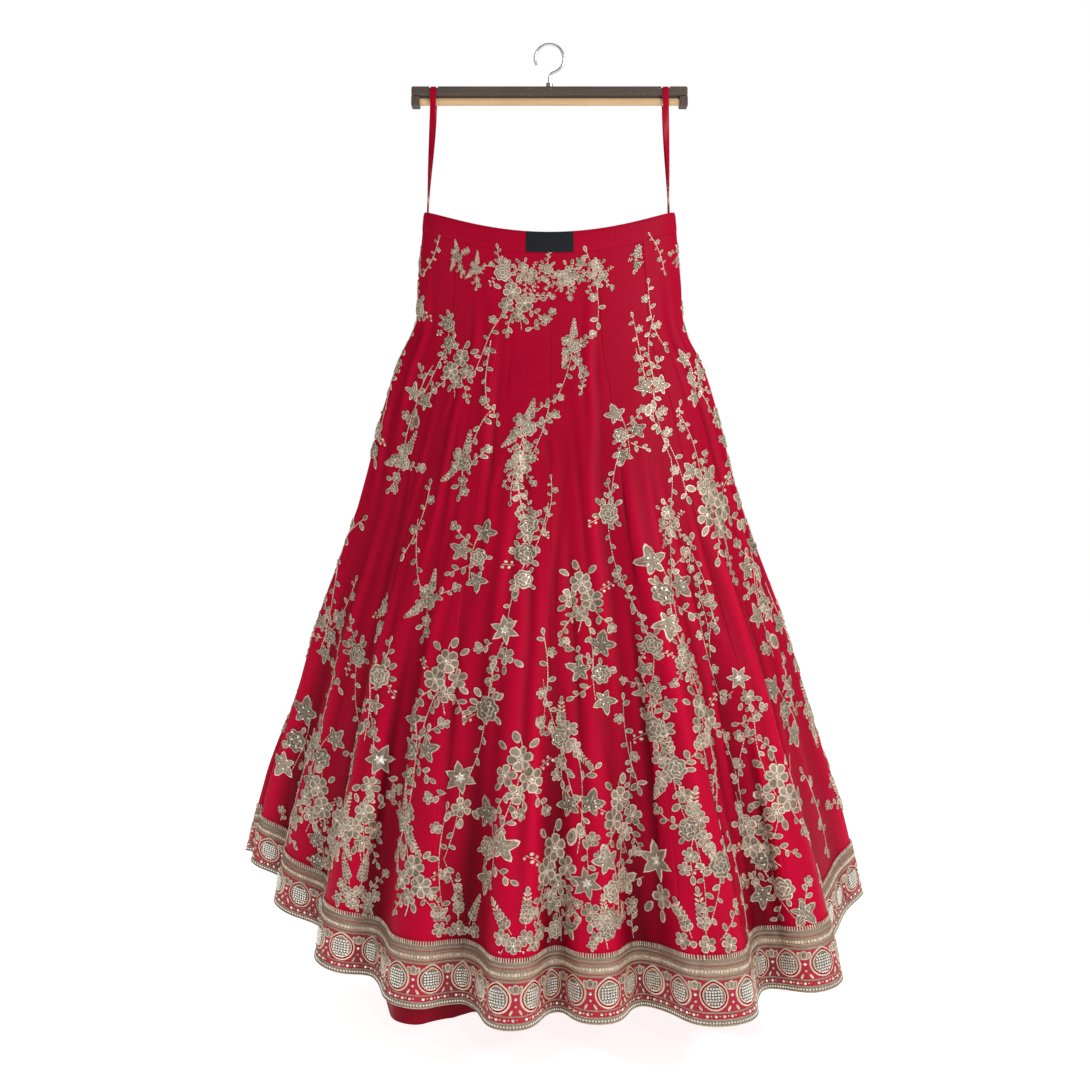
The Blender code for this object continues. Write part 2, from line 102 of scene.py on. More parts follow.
def ring(level):
    shape = skirtShape
    halfWidth = profileAt(level, 1)
    depth = np.where(np.cos(angles) > 0, profileAt(level, 2), profileAt(level, 3))
    turned, height = angles.copy(), np.zeros_like(angles)
    for centre, rise, width, start, lean in shape["folds"]:
        q = angleAway(centre, width)
        strength = max(0.0, (level - start) / (1.0 - start)) ** shape["foldGrowth"]
        height += rise * strength * hill(q)
        sway = lean * math.radians(width) * np.sin(2 * np.pi * q) / (2 * np.pi)
        turned += sway * np.clip(1.0 - q * q, 0.0, None) ** 2 * min(1.0, 2.0 * strength)
    across, forward = np.sin(turned), np.cos(turned)
    outX, outY = across / halfWidth, -forward / depth
    outLength = np.hypot(outX, outY)
    x = halfWidth * across + height * outX / outLength
    y = -depth * forward + height * outY / outLength
    for centre, loss, width in shape["hollows"]:
        y += loss * max(0.0, level) ** shape["hollowGrowth"] * hill(angleAway(centre, width))
    sag = np.where(np.cos(angles) > 0, shape["frontSag"], shape["backSag"]) * np.cos(angles) ** 2
    sideways = np.abs(np.sin(angles))
    rises = [rise * sideways ** power for rise, power in (shape["riseRight"], shape["riseLeft"])]
    hem = shape["hem"] + np.where(np.sin(angles) > 0, rises[0], rises[1])
    return np.stack([x, y, (shape["waistSides"] - sag) * (1.0 - level) + hem * level], axis=1)


# creases, and the table of cloth points that every piece is laid on

creaseSet = {
    "levels": 241, "turns": 1800, "lowest": 1.06,
    # turn, level of the middle, half length in levels, half width in metres, height, slant in metres a level
    "placed": (
        (0.022, 0.62, 0.34, 0.012, -0.0035, 0.02), (0.048, 0.50, 0.40, 0.016, 0.0040, 0.03),
        (0.071, 0.70, 0.28, 0.011, -0.0045, -0.02), (0.098, 0.58, 0.36, 0.018, 0.0040, 0.05),
        (0.118, 0.76, 0.22, 0.012, -0.0050, 0.03), (0.139, 0.66, 0.30, 0.014, 0.0035, 0.02),
        (0.160, 0.80, 0.20, 0.011, -0.0045, -0.03), (0.182, 0.60, 0.30, 0.016, 0.0035, 0.04),
        (0.205, 0.72, 0.26, 0.013, -0.0040, 0.01), (0.232, 0.55, 0.40, 0.015, 0.0030, 0.00),
        (-0.020, 0.68, 0.30, 0.013, -0.0040, -0.02), (-0.046, 0.52, 0.36, 0.016, 0.0035, -0.03),
        (-0.078, 0.66, 0.28, 0.012, -0.0040, 0.02), (-0.105, 0.60, 0.34, 0.015, 0.0035, -0.04),
        (-0.132, 0.74, 0.24, 0.012, -0.0045, -0.02), (-0.158, 0.62, 0.30, 0.014, 0.0035, 0.03),
        (-0.185, 0.78, 0.20, 0.011, -0.0040, -0.02), (-0.214, 0.58, 0.34, 0.015, 0.0030, -0.01)),
    "backCount": 26, "highCount": 40, "smallCount": 110, "depth": 1.6,
    # no creases above this level, and the levels over which they come in
    "flatTo": 0.04, "fadeIn": 0.08,
    # steps round the cloth that a fold is measured over, and the height that is shaded fully
    "reach": 22, "fullShade": 0.0050,
}


def creaseRows():
    between, eitherWay = random.uniform, lambda low, high: random.choice((-1, 1)) * random.uniform(low, high)
    rows = list(creaseSet["placed"])
    for number in range(creaseSet["backCount"]):
        sign = -1 if number % 2 else 1
        rows.append((0.262 + 0.476 * (number + between(0.2, 0.8)) / creaseSet["backCount"],
                     between(0.48, 0.82), between(0.18, 0.38), between(0.011, 0.018),
                     sign * between(0.003, 0.005), between(-0.05, 0.05)))
    for number in range(creaseSet["highCount"]):
        rows.append(((number + between(0.1, 0.9)) / creaseSet["highCount"], between(0.22, 0.52),
                     between(0.12, 0.30), between(0.008, 0.013), eitherWay(0.0012, 0.0026),
                     between(-0.08, 0.08)))
    for number in range(creaseSet["smallCount"]):
        rows.append((random.random(), between(0.15, 0.95), between(0.03, 0.09), between(0.005, 0.010),
                     eitherWay(0.0006, 0.0014), between(-0.25, 0.25)))
    return rows


def layCloth():
    levels = np.linspace(-0.01, creaseSet["lowest"], creaseSet["levels"])
    turns = np.linspace(0.0, 1.0, creaseSet["turns"] + 1)
    points, girths = [], []
    for level in levels:
        loop = ring(level)
        travelled = np.concatenate([[0.0], np.cumsum(np.linalg.norm(np.diff(loop, axis=0), axis=1))])
        girths.append(travelled[-1])
        evenly = [np.interp(turns * travelled[-1], travelled, loop[:, k]) for k in range(3)]
        points.append(np.stack(evenly, axis=1))
    points, girths = np.array(points), np.array(girths)
    normals = clothNormals(points)
    lift = np.zeros(points.shape[:2])
    for turn, level, length, width, height, slant in creaseRows():
        away = (turns[None, :] - turn + 0.5) % 1.0 - 0.5
        sideways = away * girths[:, None] - slant * (levels[:, None] - level)
        along = (levels[:, None] - level) / length
        lift += creaseSet["depth"] * height * hill(sideways / width) * hill(along)
    lift *= np.clip((levels[:, None] - creaseSet["flatTo"]) / creaseSet["fadeIn"], 0.0, 1.0)
    points += normals * lift[:, :, None]
    return levels, turns, points, clothNormals(points), girths


def clothNormals(points):
    down = np.gradient(points, axis=0)
    around = np.empty_like(points)
    around[:, 1:-1] = points[:, 2:] - points[:, :-2]
    around[:, 0] = around[:, -1] = points[:, 1] - points[:, -2]
    normals = np.cross(down, around)
    return normals / np.linalg.norm(normals, axis=2)[:, :, None]


def foldShadeFromHeights(points, normals):
    # how far the cloth stands out from its surroundings: over 0 on a ridge, under 0 in a valley; the finishes
    # use it as painted shade in the valleys and painted light on the ridges
    reach = creaseSet["reach"]
    loop = points[:, :-1]
    wide = np.concatenate([loop[:, -reach:], loop, loop[:, :reach]], axis=1)
    total = np.cumsum(wide, axis=1)
    middle = (total[:, 2 * reach:] - total[:, :-2 * reach]) / (2 * reach)
    height = ((loop - middle) * normals[:, :-1]).sum(axis=2) / creaseSet["fullShade"]
    return np.clip(np.concatenate([height, height[:, :1]], axis=1), -1.0, 1.0)


clothLevels, clothTurns, clothPoints, clothOut, clothGirths = layCloth()
paintedFoldShade = foldShadeFromHeights(clothPoints, clothOut)
clothFall = np.linalg.norm(np.diff(clothPoints[10:-10], axis=0), axis=2).sum(axis=0) / (
    clothLevels[-10] - clothLevels[10])
print("cloth laid", clothPoints.shape, "hem girth", round(float(np.interp(1.0, clothLevels, clothGirths)), 3))


def onCloth(turn, level, lift):
    u = (np.asarray(turn, dtype=float) % 1.0) * (len(clothTurns) - 1)
    v = (np.asarray(level, dtype=float) - clothLevels[0]) / (clothLevels[1] - clothLevels[0])
    v = np.clip(v, 0.0, len(clothLevels) - 1.001)
    i, j = v.astype(int), np.minimum(u.astype(int), len(clothTurns) - 2)
    p, q = (v - i)[:, None], (u - j)[:, None]
    place = lambda table: ((1 - p) * ((1 - q) * table[i, j] + q * table[i, j + 1])
                           + p * ((1 - q) * table[i + 1, j] + q * table[i + 1, j + 1]))
    return place(clothPoints) + place(clothOut) * (lift * np.ones(len(u)))[:, None]


def paintedFoldShadeAt(turn, level):
    i = np.rint((level - clothLevels[0]) / (clothLevels[1] - clothLevels[0])).astype(int)
    j = np.rint((turn % 1.0) * (len(clothTurns) - 1)).astype(int)
    return paintedFoldShade[np.clip(i, 0, len(clothLevels) - 1), j]


def girthAt(level):
    return np.interp(level, clothLevels, clothGirths)


def fallAt(turn):
    return np.interp(np.asarray(turn) % 1.0, clothTurns, clothFall)


# finishes

class Wire:
    # a shader socket that can be added, multiplied and so on
    def __init__(self, finish, socket):
        self.finish = finish
        self.socket = socket

    def reckon(self, operation, left, right):
        return self.finish.node("ShaderNodeMath", {"operation": operation}, {0: left, 1: right})

    __add__ = lambda self, other: self.reckon("ADD", self, other)
    __radd__ = lambda self, other: self.reckon("ADD", other, self)
    __sub__ = lambda self, other: self.reckon("SUBTRACT", self, other)
    __rsub__ = lambda self, other: self.reckon("SUBTRACT", other, self)
    __mul__ = lambda self, other: self.reckon("MULTIPLY", self, other)
    __rmul__ = lambda self, other: self.reckon("MULTIPLY", other, self)
    __gt__ = lambda self, other: self.reckon("GREATER_THAN", self, other)
    __lt__ = lambda self, other: self.reckon("LESS_THAN", self, other)


class Finish:
    def __init__(self, name):
        self.material = bpy.data.materials.new(name)
        self.material.use_nodes = True
        self.tree = self.material.node_tree
        self.shader = self.tree.nodes["Principled BSDF"]

    def node(self, kind, settings=None, sockets=None, output=0):
        made = self.tree.nodes.new(kind)
        for key, value in (settings or {}).items():
            setattr(made, key, value)
        for key, value in (sockets or {}).items():
            self.join(made.inputs[key], value)
        return Wire(self, made.outputs[output])

    def join(self, target, value):
        if isinstance(value, Wire):
            self.tree.links.new(value.socket, target)
        else:
            target.default_value = value

    def shade(self, sockets):
        for key, value in sockets.items():
            self.join(self.shader.inputs[key], value)

    def mixed(self, factor, first, second):
        sockets = {0: factor, 6: (*first, 1.0) if isinstance(first, tuple) else first,
                   7: (*second, 1.0) if isinstance(second, tuple) else second}
        return self.node("ShaderNodeMix", {"data_type": "RGBA"}, sockets, 2)

    def noise(self, where, scale, detail=2.0, rough=0.5):
        return self.node("ShaderNodeTexNoise", None,
                         {"Vector": where, "Scale": scale, "Detail": detail, "Roughness": rough})

    def stretched(self, where, scale):
        return self.node("ShaderNodeMapping", None, {"Vector": where, "Scale": scale})

    def bump(self, height, depth, strength):
        return self.node("ShaderNodeBump", None, {"Height": height, "Distance": depth, "Strength": strength})

    def cloth(self):
        return self.node("ShaderNodeUVMap", {"uv_map": "cloth"})

    def body(self):
        return self.node("ShaderNodeTexCoord", None, None, 3)


# the silk's colours, lit and in shade: the fold attribute paints shade into valleys and light onto ridges
# between them, and noise varies the silk's own tone
silkSet = {"lit": (0.575, 0.0008, 0.034), "darkAndShaded": (0.135, 0.0002, 0.007), "roughness": 0.54,
           "broad": (5.0, 3.0, 1.0), "slub": (26.0, 520.0, 1.0), "warp": (700.0, 30.0, 1.0),
           # how much each of them, and the fold, lightens the colour; the fold's share is painted shade in
           # valleys and painted light on ridges
           "weights": (0.50, 0.50, 0.36, 0.20), "base": 0.02}


def makeSilk(name, lit, darkAndShaded, roughness):
    silk = Finish(name)
    where = silk.cloth()
    broad = silk.noise(silk.stretched(where, silkSet["broad"]), 1.0, 3.0)
    slub = silk.noise(silk.stretched(where, silkSet["slub"]), 1.0, 3.0, 0.6)
    warp = silk.noise(silk.stretched(where, silkSet["warp"]), 1.0, 2.0)
    foldShade = silk.node("ShaderNodeAttribute", {"attribute_name": "foldShade"}, None, 2)
    byPaintedFoldShade, byBroad, bySlub, byWarp = silkSet["weights"]
    # tone: painted fold shade and light, plus the silk's own broad, slub and warp variation
    tone = foldShade * byPaintedFoldShade + broad * byBroad + slub * bySlub + warp * byWarp + silkSet["base"]
    silk.shade({"Base Color": silk.mixed(tone, darkAndShaded, lit), "Roughness": roughness - 0.10 + slub * 0.22,
                "Sheen Weight": 0.04, "Sheen Roughness": 0.35, "Sheen Tint": (1.0, 0.06, 0.12, 1.0),
                "Specular IOR Level": 0.07,
                "Normal": silk.bump(slub * 0.6 + warp * 0.4, 0.0006, 0.35)})
    return silk.material


zariSet = {
    # the dark and the light colour of each
    "thread": ((0.38, 0.28, 0.195), (0.98, 0.83, 0.66)), "fill": ((0.085, 0.060, 0.042), (0.46, 0.365, 0.27)),
    "foil": ((0.74, 0.68, 0.58), (1.0, 0.98, 0.94)), "band": ((0.105, 0.073, 0.052), (0.43, 0.335, 0.25)),
}


def makeZari(name, colours, metallic, roughness, speckle, depth):
    zari = Finish(name)
    where = zari.body()
    # the shade attribute: each stamp's random tone plus painted fold shade from the cloth beneath it
    shade = zari.node("ShaderNodeAttribute", {"attribute_name": "shade"}, None, 2)
    fleck = zari.noise(where, speckle, 2.0, 0.7)
    glint = (zari.noise(where, speckle * 0.45, 1.0) - 0.5) * 1.6
    tone = shade * 0.55 + fleck * 0.75 + glint * 0.5 - 0.15
    zari.shade({"Base Color": zari.mixed(tone, colours[0], colours[1]), "Metallic": metallic,
                "Roughness": roughness - 0.12 + fleck * 0.24,
                "Normal": zari.bump(fleck, depth, 0.55)})
    return zari.material


def makeBorderCloth():
    # dull zari bands above and below, and silk behind the medallions
    cloth = Finish("borderCloth")
    where = cloth.cloth()
    up = cloth.node("ShaderNodeSeparateXYZ", None, {0: where}, 1)
    ribs = cloth.noise(cloth.stretched(where, (90.0, 1500.0, 1.0)), 1.0, 2.0)
    stitches = cloth.noise(cloth.stretched(where, (900.0, 260.0, 1.0)), 1.0, 2.0)
    isRed = (up > borderSet["redLow"]) * (up < borderSet["redHigh"])
    isBottomRed = (up > borderSet["dotLow"]) * (up < borderSet["dotHigh"])
    red = isRed + isBottomRed
    for height in borderSet["hairlines"]:
        red = red + (up > height - borderSet["hairline"]) * (up < height + borderSet["hairline"]) * 0.75
    # painted shade and light: the fold attribute darkens the border's gold bands and silk in valleys and
    # lightens them on ridges
    foldShade = cloth.node("ShaderNodeAttribute", {"attribute_name": "foldShade"}, None, 2)
    gold = cloth.mixed(ribs * 0.6 + stitches * 0.7 - 0.15 + foldShade * 0.25, *zariSet["band"])
    silk = cloth.mixed(stitches * 0.6 + foldShade * 0.3 + 0.2, silkSet["darkAndShaded"], silkSet["lit"])
    cloth.shade({"Base Color": cloth.mixed(red, gold, silk), "Metallic": 0.45 - red * 0.45,
                 "Roughness": 0.42 + stitches * 0.2, "Normal": cloth.bump(ribs + stitches, 0.0008, 0.6)})
    return cloth.material


def makeWood(name, dark, light, grain, roughness, worn):
    wood = Finish(name)
    where = wood.body()
    lines = wood.noise(wood.stretched(where, grain), 1.0, 4.0, 0.65)
    patches = wood.noise(where, 22.0, 3.0)
    scuffs = (wood.noise(where, 160.0, 3.0, 0.8) > 0.66) * worn
    colour = wood.mixed(lines * 0.8 + patches * 0.4 - 0.1, dark, light)
    wood.shade({"Base Color": wood.mixed(scuffs, colour, (0.36, 0.27, 0.21)),
                "Roughness": roughness - 0.1 + lines * 0.25, "Normal": wood.bump(lines, 0.0006, 0.4)})
    return wood.material


def makeSteel():
    steel = Finish("brushedSteel")
    where = steel.body()
    lines = steel.noise(steel.stretched(where, (900.0, 900.0, 120.0)), 1.0, 3.0)
    marks = steel.noise(where, 60.0, 2.0)
    steel.shade({"Base Color": steel.mixed(marks, (0.50, 0.50, 0.51), (0.66, 0.66, 0.67)), "Metallic": 1.0,
                 "Roughness": 0.2 + lines * 0.2, "Normal": steel.bump(lines, 0.0002, 0.3)})
    return steel.material


borderSet = {
    "top": 0.926, "height": 0.0765,      # level where the border starts, and its height in metres
    # heights above the hem
    "hairlines": (0.0569, 0.0652, 0.0698), "hairline": 0.0006,
    "dotLow": 0.0085, "dotHigh": 0.0150, "redLow": 0.0165, "redHigh": 0.0535,
    "medallionCount": 62, "medallionMiddle": 0.0345, "medallionWidth": 0.0345, "medallionHeight": 0.0350,
    # rows of sequins in a medallion, and the half width and half height that they fill
    "sequinRows": 7, "rowPitch": 0.0033, "rowShift": -0.0012, "filledWidth": 0.0118, "filledHeight": 0.0128,
    "sequinPitch": 0.0034, "sequinSize": 0.0031,
    # between two medallions: shape, metres aside, height above the hem, degrees, width, length, lift
    "between": (
        ("leaf", 0.0, 0.0400, 38, 0.0105, 0.0125, 0.0), ("sprig", -0.0035, 0.0235, 150, 0.0070, 0.0080, 0.0),
        ("leaf", 0.0, 0.0400, -38, 0.0105, 0.0125, 0.0), ("sprig", 0.0035, 0.0235, 210, 0.0070, 0.0080, 0.0),
        ("petal", 0.0, 0.0400, 0, 0.0085, 0.0120, 0.0003), ("sequin", 0.0, 0.0350, 0, 0.0042, 0.0042, 0.0),
        ("bead", 0.0, 0.0270, 0, 0.0034, 0.0034, 0.0)),
    # the dots below a medallion, each a sequin and a bead
    "dots": (-0.0100, 0.0, 0.0100, 0.0195), "dotUp": 0.0117, "dotSize": 0.0040,
    "beadAside": 0.0045, "beadUp": 0.0004, "beadSize": 0.0022,
    # height above the hem, half width of the ridge, height of the ridge
    "ridges": ((0.0012, 0.0012, 0.0016), (0.0078, 0.0008, 0.0010), (0.0158, 0.0008, 0.0012),
               (0.0545, 0.0008, 0.0012), (0.0590, 0.0010, 0.0010), (0.0640, 0.0010, 0.0010),
               (0.0665, 0.0007, 0.0012), (0.0715, 0.0009, 0.0012)),
    # rows of one shape close together: shape, height above the hem, pitch, width, length
    "closeRows": (("sequin", 0.0045, 0.0036, 0.00256, 0.0032), ("tooth", 0.0600, 0.0040, 0.0032, 0.0040),
                  ("tooth", 0.0753, 0.0033, 0.0014, 0.0058)),
    "lift": 0.0031, "clothLift": 0.0021, "clothWall": 0.0010,
}

silk = makeSilk("crimsonSilk", silkSet["lit"], silkSet["darkAndShaded"], silkSet["roughness"])
liningSatin = makeSilk("redLiningSatin", (0.24, 0.0010, 0.012), (0.15, 0.0006, 0.007), 0.40)
ribbonSatin = makeSilk("redRibbonSatin", (0.42, 0.0012, 0.022), (0.28, 0.0006, 0.012), 0.34)
labelSatin = makeSilk("charcoalSatin", (0.022, 0.023, 0.027), (0.010, 0.011, 0.013), 0.42)
zariThread = makeZari("zariThread", zariSet["thread"], 0.22, 0.42, 900.0, 0.0006)
zariFill = makeZari("zariFill", zariSet["fill"], 0.22, 0.42, 700.0, 0.0009)
zariFoil = makeZari("sequinFoil", zariSet["foil"], 0.60, 0.26, 500.0, 0.0002)
borderCloth = makeBorderCloth()
darkWood = makeWood("weatheredDarkWood", (0.040, 0.026, 0.021), (0.105, 0.072, 0.056),
                    (14.0, 260.0, 260.0), 0.62, 0.6)
paleWood = makeWood("naturalWood", (0.46, 0.29, 0.14), (0.70, 0.50, 0.28), (10.0, 220.0, 220.0), 0.48, 0.0)
steel = makeSteel()
print("finishes made")


# cloth walls

def finishedPiece(name, bm, finishes):
    mesh = bpy.data.meshes.new(name)
    bm.to_mesh(mesh)
    bm.free()
    for finish in finishes:
        mesh.materials.append(finish)
    piece = bpy.data.objects.new(name, mesh)
    bpy.context.collection.objects.link(piece)
    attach(piece, "root")
    return piece


def unitWall(columns, rows):
    # a closed wall: x and y run from 0 to 1, and z is 0 on its inner face and 1 on its outer one
    bm = bmesh.new()
    bmesh.ops.create_grid(bm, x_segments=columns, y_segments=rows, size=0.5)
    bmesh.ops.translate(bm, verts=bm.verts[:], vec=(0.5, 0.5, 0.0))
    grown = bmesh.ops.extrude_face_region(bm, geom=bm.faces[:])["geom"]
    outer = [vert for vert in grown if isinstance(vert, bmesh.types.BMVert)]
    bmesh.ops.translate(bm, verts=outer, vec=(0.0, 0.0, 1.0))
    bmesh.ops.recalc_face_normals(bm, faces=bm.faces[:])
    return bm


def meshPoints(mesh):
    flat = np.empty(len(mesh.vertices) * 3)
    mesh.vertices.foreach_get("co", flat)
    return flat.reshape(-1, 3)


def setPoints(mesh, points):
    mesh.vertices.foreach_set("co", np.ascontiguousarray(points, dtype=np.float32).ravel())
    mesh.update()


def layUv(mesh, across, up):
    corners = np.empty(len(mesh.loops), dtype=np.int32)
    mesh.loops.foreach_get("vertex_index", corners)
    uv = mesh.uv_layers.new(name="cloth")
    uv.data.foreach_set("uv", np.stack([across[corners], up[corners]], axis=1).astype(np.float32).ravel())


def smoothPiece(piece, degrees):
    piece.data.shade_smooth()
    piece.data.set_sharp_from_angle(angle=math.radians(degrees))


def clothPiece(name, plan, columns, rows, finish, moved=None):
    # plan gives turn, level and lift from the unit wall's x, y and z
    piece = finishedPiece(name, unitWall(columns, rows), [finish])
    unit = meshPoints(piece.data)
    turn, level, lift = plan(unit[:, 0], 1.0 - unit[:, 1], unit[:, 2])
    points = onCloth(turn, level, lift)
    if moved:
        points = points + moved(points, turn, level)
    setPoints(piece.data, points)
    middle = 0.5 * (turn.min() + turn.max())
    layUv(piece.data, (turn - middle) * girthAt(level), (1.0 - level) * fallAt(turn))
    # painted shade and light: this attribute darkens the colour in the cloth's valleys and lightens it on its
    # ridges
    foldShade = piece.data.attributes.new("foldShade", "FLOAT", "POINT")
    foldShade.data.foreach_set("value", paintedFoldShadeAt(turn, level * np.ones_like(turn)).astype(np.float32))
    smoothPiece(piece, 50)
    return piece


kaliSet = {"count": 12, "columns": 36, "rows": 84, "from": 0.03, "wall": 0.0018,
           "edgeSteps": (0.00001, 0.0010, 0.0026), "seamDip": 0.0006,
           "widest": 0.24, "length": 1.02, "area": 0.158}


def kaliName(index):
    return f"front_{index + 4}" if index < 3 else f"back_{index - 2}"


def makeKali(index):
    shape = kaliSet
    count = shape["count"]

    def plan(x, down, z):
        level = shape["from"] + (1.0 - shape["from"]) * down
        column = np.rint(x * shape["columns"]).astype(int)
        share = np.full_like(x, 1.0 / count)
        inset = len(shape["edgeSteps"])
        uniform = np.clip((column - inset + 0.5) / (shape["columns"] - 2 * inset + 1.0), 0.0, 1.0)
        turn = share * uniform
        near = np.minimum(column, shape["columns"] - column)
        for step, metres in enumerate(shape["edgeSteps"]):
            offset = metres / girthAt(level)
            turn = np.where(column == step, offset, turn)
            turn = np.where(shape["columns"] - column == step, share - offset, turn)
        dip = np.where(near == 0, shape["seamDip"], np.where(near == 1, 0.35 * shape["seamDip"], 0.0))
        return index / count + turn, level, shape["wall"] * z - dip * z

    name = kaliName(index)
    piece = clothPiece(f"silkKali_{name}", plan, shape["columns"], shape["rows"], silk)
    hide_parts(f"kali_{name}")


liningSet = {"columns": 30, "rows": 14, "from": 0.86, "gap": 0.0003, "wall": 0.0010, "shift": 0.006,
             "length": 0.146, "longer": {-2: 0.18, -1: 0.165},
             # where it hangs below the hem: angle, half width, how flat its lower edge is, and its height
             "dropFrom": 0.926, "dropAngle": -22.0, "dropWidth": 13.5, "flatness": 1.8, "bottom": -1.330,
             "inset": 0.006}


def liningDrop(points, turn, level):
    # the lining hangs below the hem at one place in front
    edge = onCloth(turn, np.ones_like(turn), 0.0)
    flatness = profileAt(1.0, 2) / profileAt(1.0, 1)
    around = np.degrees(np.arctan2(edge[:, 0] * flatness, -edge[:, 1]))
    nearness = hill((around - liningSet["dropAngle"]) / liningSet["dropWidth"])
    share = np.minimum(1.0, liningSet["flatness"] * nearness)
    share *= np.clip((level - liningSet["dropFrom"]) / (1.0 - liningSet["dropFrom"]), 0.0, 1.0)
    inward = onCloth(turn, level, -1.0) - onCloth(turn, level, 0.0)
    moved = inward * (share * liningSet["inset"])[:, None]
    moved[:, 2] -= share * np.maximum(0.0, edge[:, 2] - liningSet["bottom"])
    return moved


def makeLining(index):
    shape = liningSet

    def plan(x, down, z):
        level = shape["from"] + (1.0 - shape["from"]) * down
        turn = (index + shape["shift"] + 0.9998 * x) / kaliSet["count"]
        return turn, level, -shape["gap"] - shape["wall"] * (1.0 - z)

    name = kaliName(index)
    moved = liningDrop if index < 0 else None
    piece = clothPiece(f"satinLining_{name}", plan, shape["columns"], shape["rows"], liningSatin,
                       moved)
    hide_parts(f"lining_{name}")


bandSet = {"columns": 150, "rows": 10, "to": 0.0297, "inside": -0.0004, "outside": 0.0026, "edge": 0.0009,
           "stitchLine": 0.86, "stitchDepth": 0.0004, "stitchWidth": 0.05}


def makeWaistband(side):
    start = -0.25 if side == "front" else 0.25
    shape = bandSet

    def plan(x, down, z):
        crown = np.clip(1.0 - np.abs(2.0 * down - 1.0) ** 6, 0.0, 1.0)
        stitch = shape["stitchDepth"] * np.exp(-((down - shape["stitchLine"]) / shape["stitchWidth"]) ** 2)
        outer = shape["outside"] - shape["edge"] * (1.0 - crown) - stitch
        lift = np.where(z > 0.5, outer, shape["inside"])
        return start + 0.0004 + 0.4992 * x, shape["to"] * down, lift

    piece = clothPiece(f"silkWaistband_{side}", plan, shape["columns"], shape["rows"], silk)
    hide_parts(f"waistband_{side}")


smallSet = {
    # name, turns, levels, inner and outer lift, columns and rows, and the cut size
    "maker_label": ("plainTag", (-5 / 120, 5 / 120), (0.0006, 0.0290), (0.0029, 0.0036), (40, 14),
                    (0.066, 0.030)),
    "side_placket": ("sidePlacket", (0.25 - 2 / 120, 0.25 + 2 / 96), (0.0302, 0.17), (-0.0013, -0.0003),
                     (16, 40), (0.031, 0.145)),
    "waist_tab": ("waistTab", (0.25 - 3 / 120, 0.25 + 1 / 96), (0.0, 0.0297), (-0.0041, -0.0026), (20, 12),
                  (0.028, 0.031)),
}


def makeSmallCloth(node, finish):
    name, (start, end), (top, bottom), (inner, outer), (columns, rows), flat = smallSet[node]

    def plan(x, down, z):
        rim = np.maximum(np.abs(2 * x - 1) ** 12, np.abs(2 * down - 1) ** 8)
        return (start + (end - start) * x, top + (bottom - top) * down,
                inner + (outer - inner) * z * (1.0 - 0.45 * rim))

    piece = clothPiece(name, plan, columns, rows, finish)
    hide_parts(node)


for index in range(-3, 9):
    makeKali(index)
    makeLining(index)
for side in ("front", "back"):
    makeWaistband(side)
makeSmallCloth("maker_label", labelSatin)
makeSmallCloth("side_placket", liningSatin)
makeSmallCloth("waist_tab", liningSatin)
print("kalis, linings, waistband and tag made")


# stamps: small embroidered shapes, each copied many times and pressed onto the cloth

stampFinishes = [zariThread, zariFill, zariFoil, silk]
thread, fill, foil, redSilk = range(4)


def stampShape(name, outline, steps, peak, peakFinish):
    # steps give scale, height and finish, from the foot of the shape to its middle
    bm = bmesh.new()
    bmesh.ops.create_circle(bm, cap_ends=True, segments=len(outline), radius=1.0)
    for vert, (x, y) in zip(bm.verts, outline):
        vert.co = (x, y, 0.0)
    face = bm.faces[:][0]
    middle = Vector((0.0, sum(y for x, y in outline) / len(outline), 0.0))
    last = 1.0
    for size, height, finish in steps:
        grown = bmesh.ops.extrude_face_region(bm, geom=[face])["geom"]
        # the face below goes, because it would stand out from a hollow in the cloth
        bmesh.ops.delete(bm, geom=[face], context="FACES_ONLY")
        face = [part for part in grown if isinstance(part, bmesh.types.BMFace)][0]
        for vert in face.verts:
            vert.co = middle + (vert.co - middle) * (size / last)
            vert.co.z = height
        for part in [face] + [side for edge in face.edges for side in edge.link_faces]:
            part.material_index = finish
        last = size
    poked = bmesh.ops.poke(bm, faces=[face])
    for vert in poked["verts"]:
        vert.co.z = peak
    for part in poked["faces"]:
        part.material_index = peakFinish
    bm.normal_update()
    bmesh.ops.reverse_faces(bm, faces=[part for part in bm.faces if part.normal.z < 0])
    mesh = bpy.data.meshes.new(name)
    bm.to_mesh(mesh)
    bm.free()
    return mesh


def anglesFromTop(count):
    return [2 * math.pi * step / count + math.pi / 2 for step in range(count)]


def roundAbout(count, radiusAt):
    return [(radiusAt(a) * math.cos(a), radiusAt(a) * math.sin(a)) for a in anglesFromTop(count)]


def pointed(count, halfWidth, belly, tip):
    # from (0, 0) to (0, 1), broadest above the middle where belly is over 0
    width = lambda a: halfWidth * (1 + belly * math.sin(a)) * abs(math.cos(a)) ** tip
    return [(math.copysign(width(a), math.cos(a)), 0.5 + 0.5 * math.sin(a)) for a in anglesFromTop(count)]


def lobes(count, inner, outer, power):
    return lambda a: inner + (outer - inner) * (0.5 + 0.5 * math.cos(count * (a - math.pi / 2))) ** power


def pointedLobes(count, inner, outer, lean):
    reach = lambda a: inner + (outer - inner) * (1.0 - abs(math.sin(0.5 * count * (a - math.pi / 2))) ** 1.5)
    return lambda a: reach(a) * (1 + lean * math.sin(a))


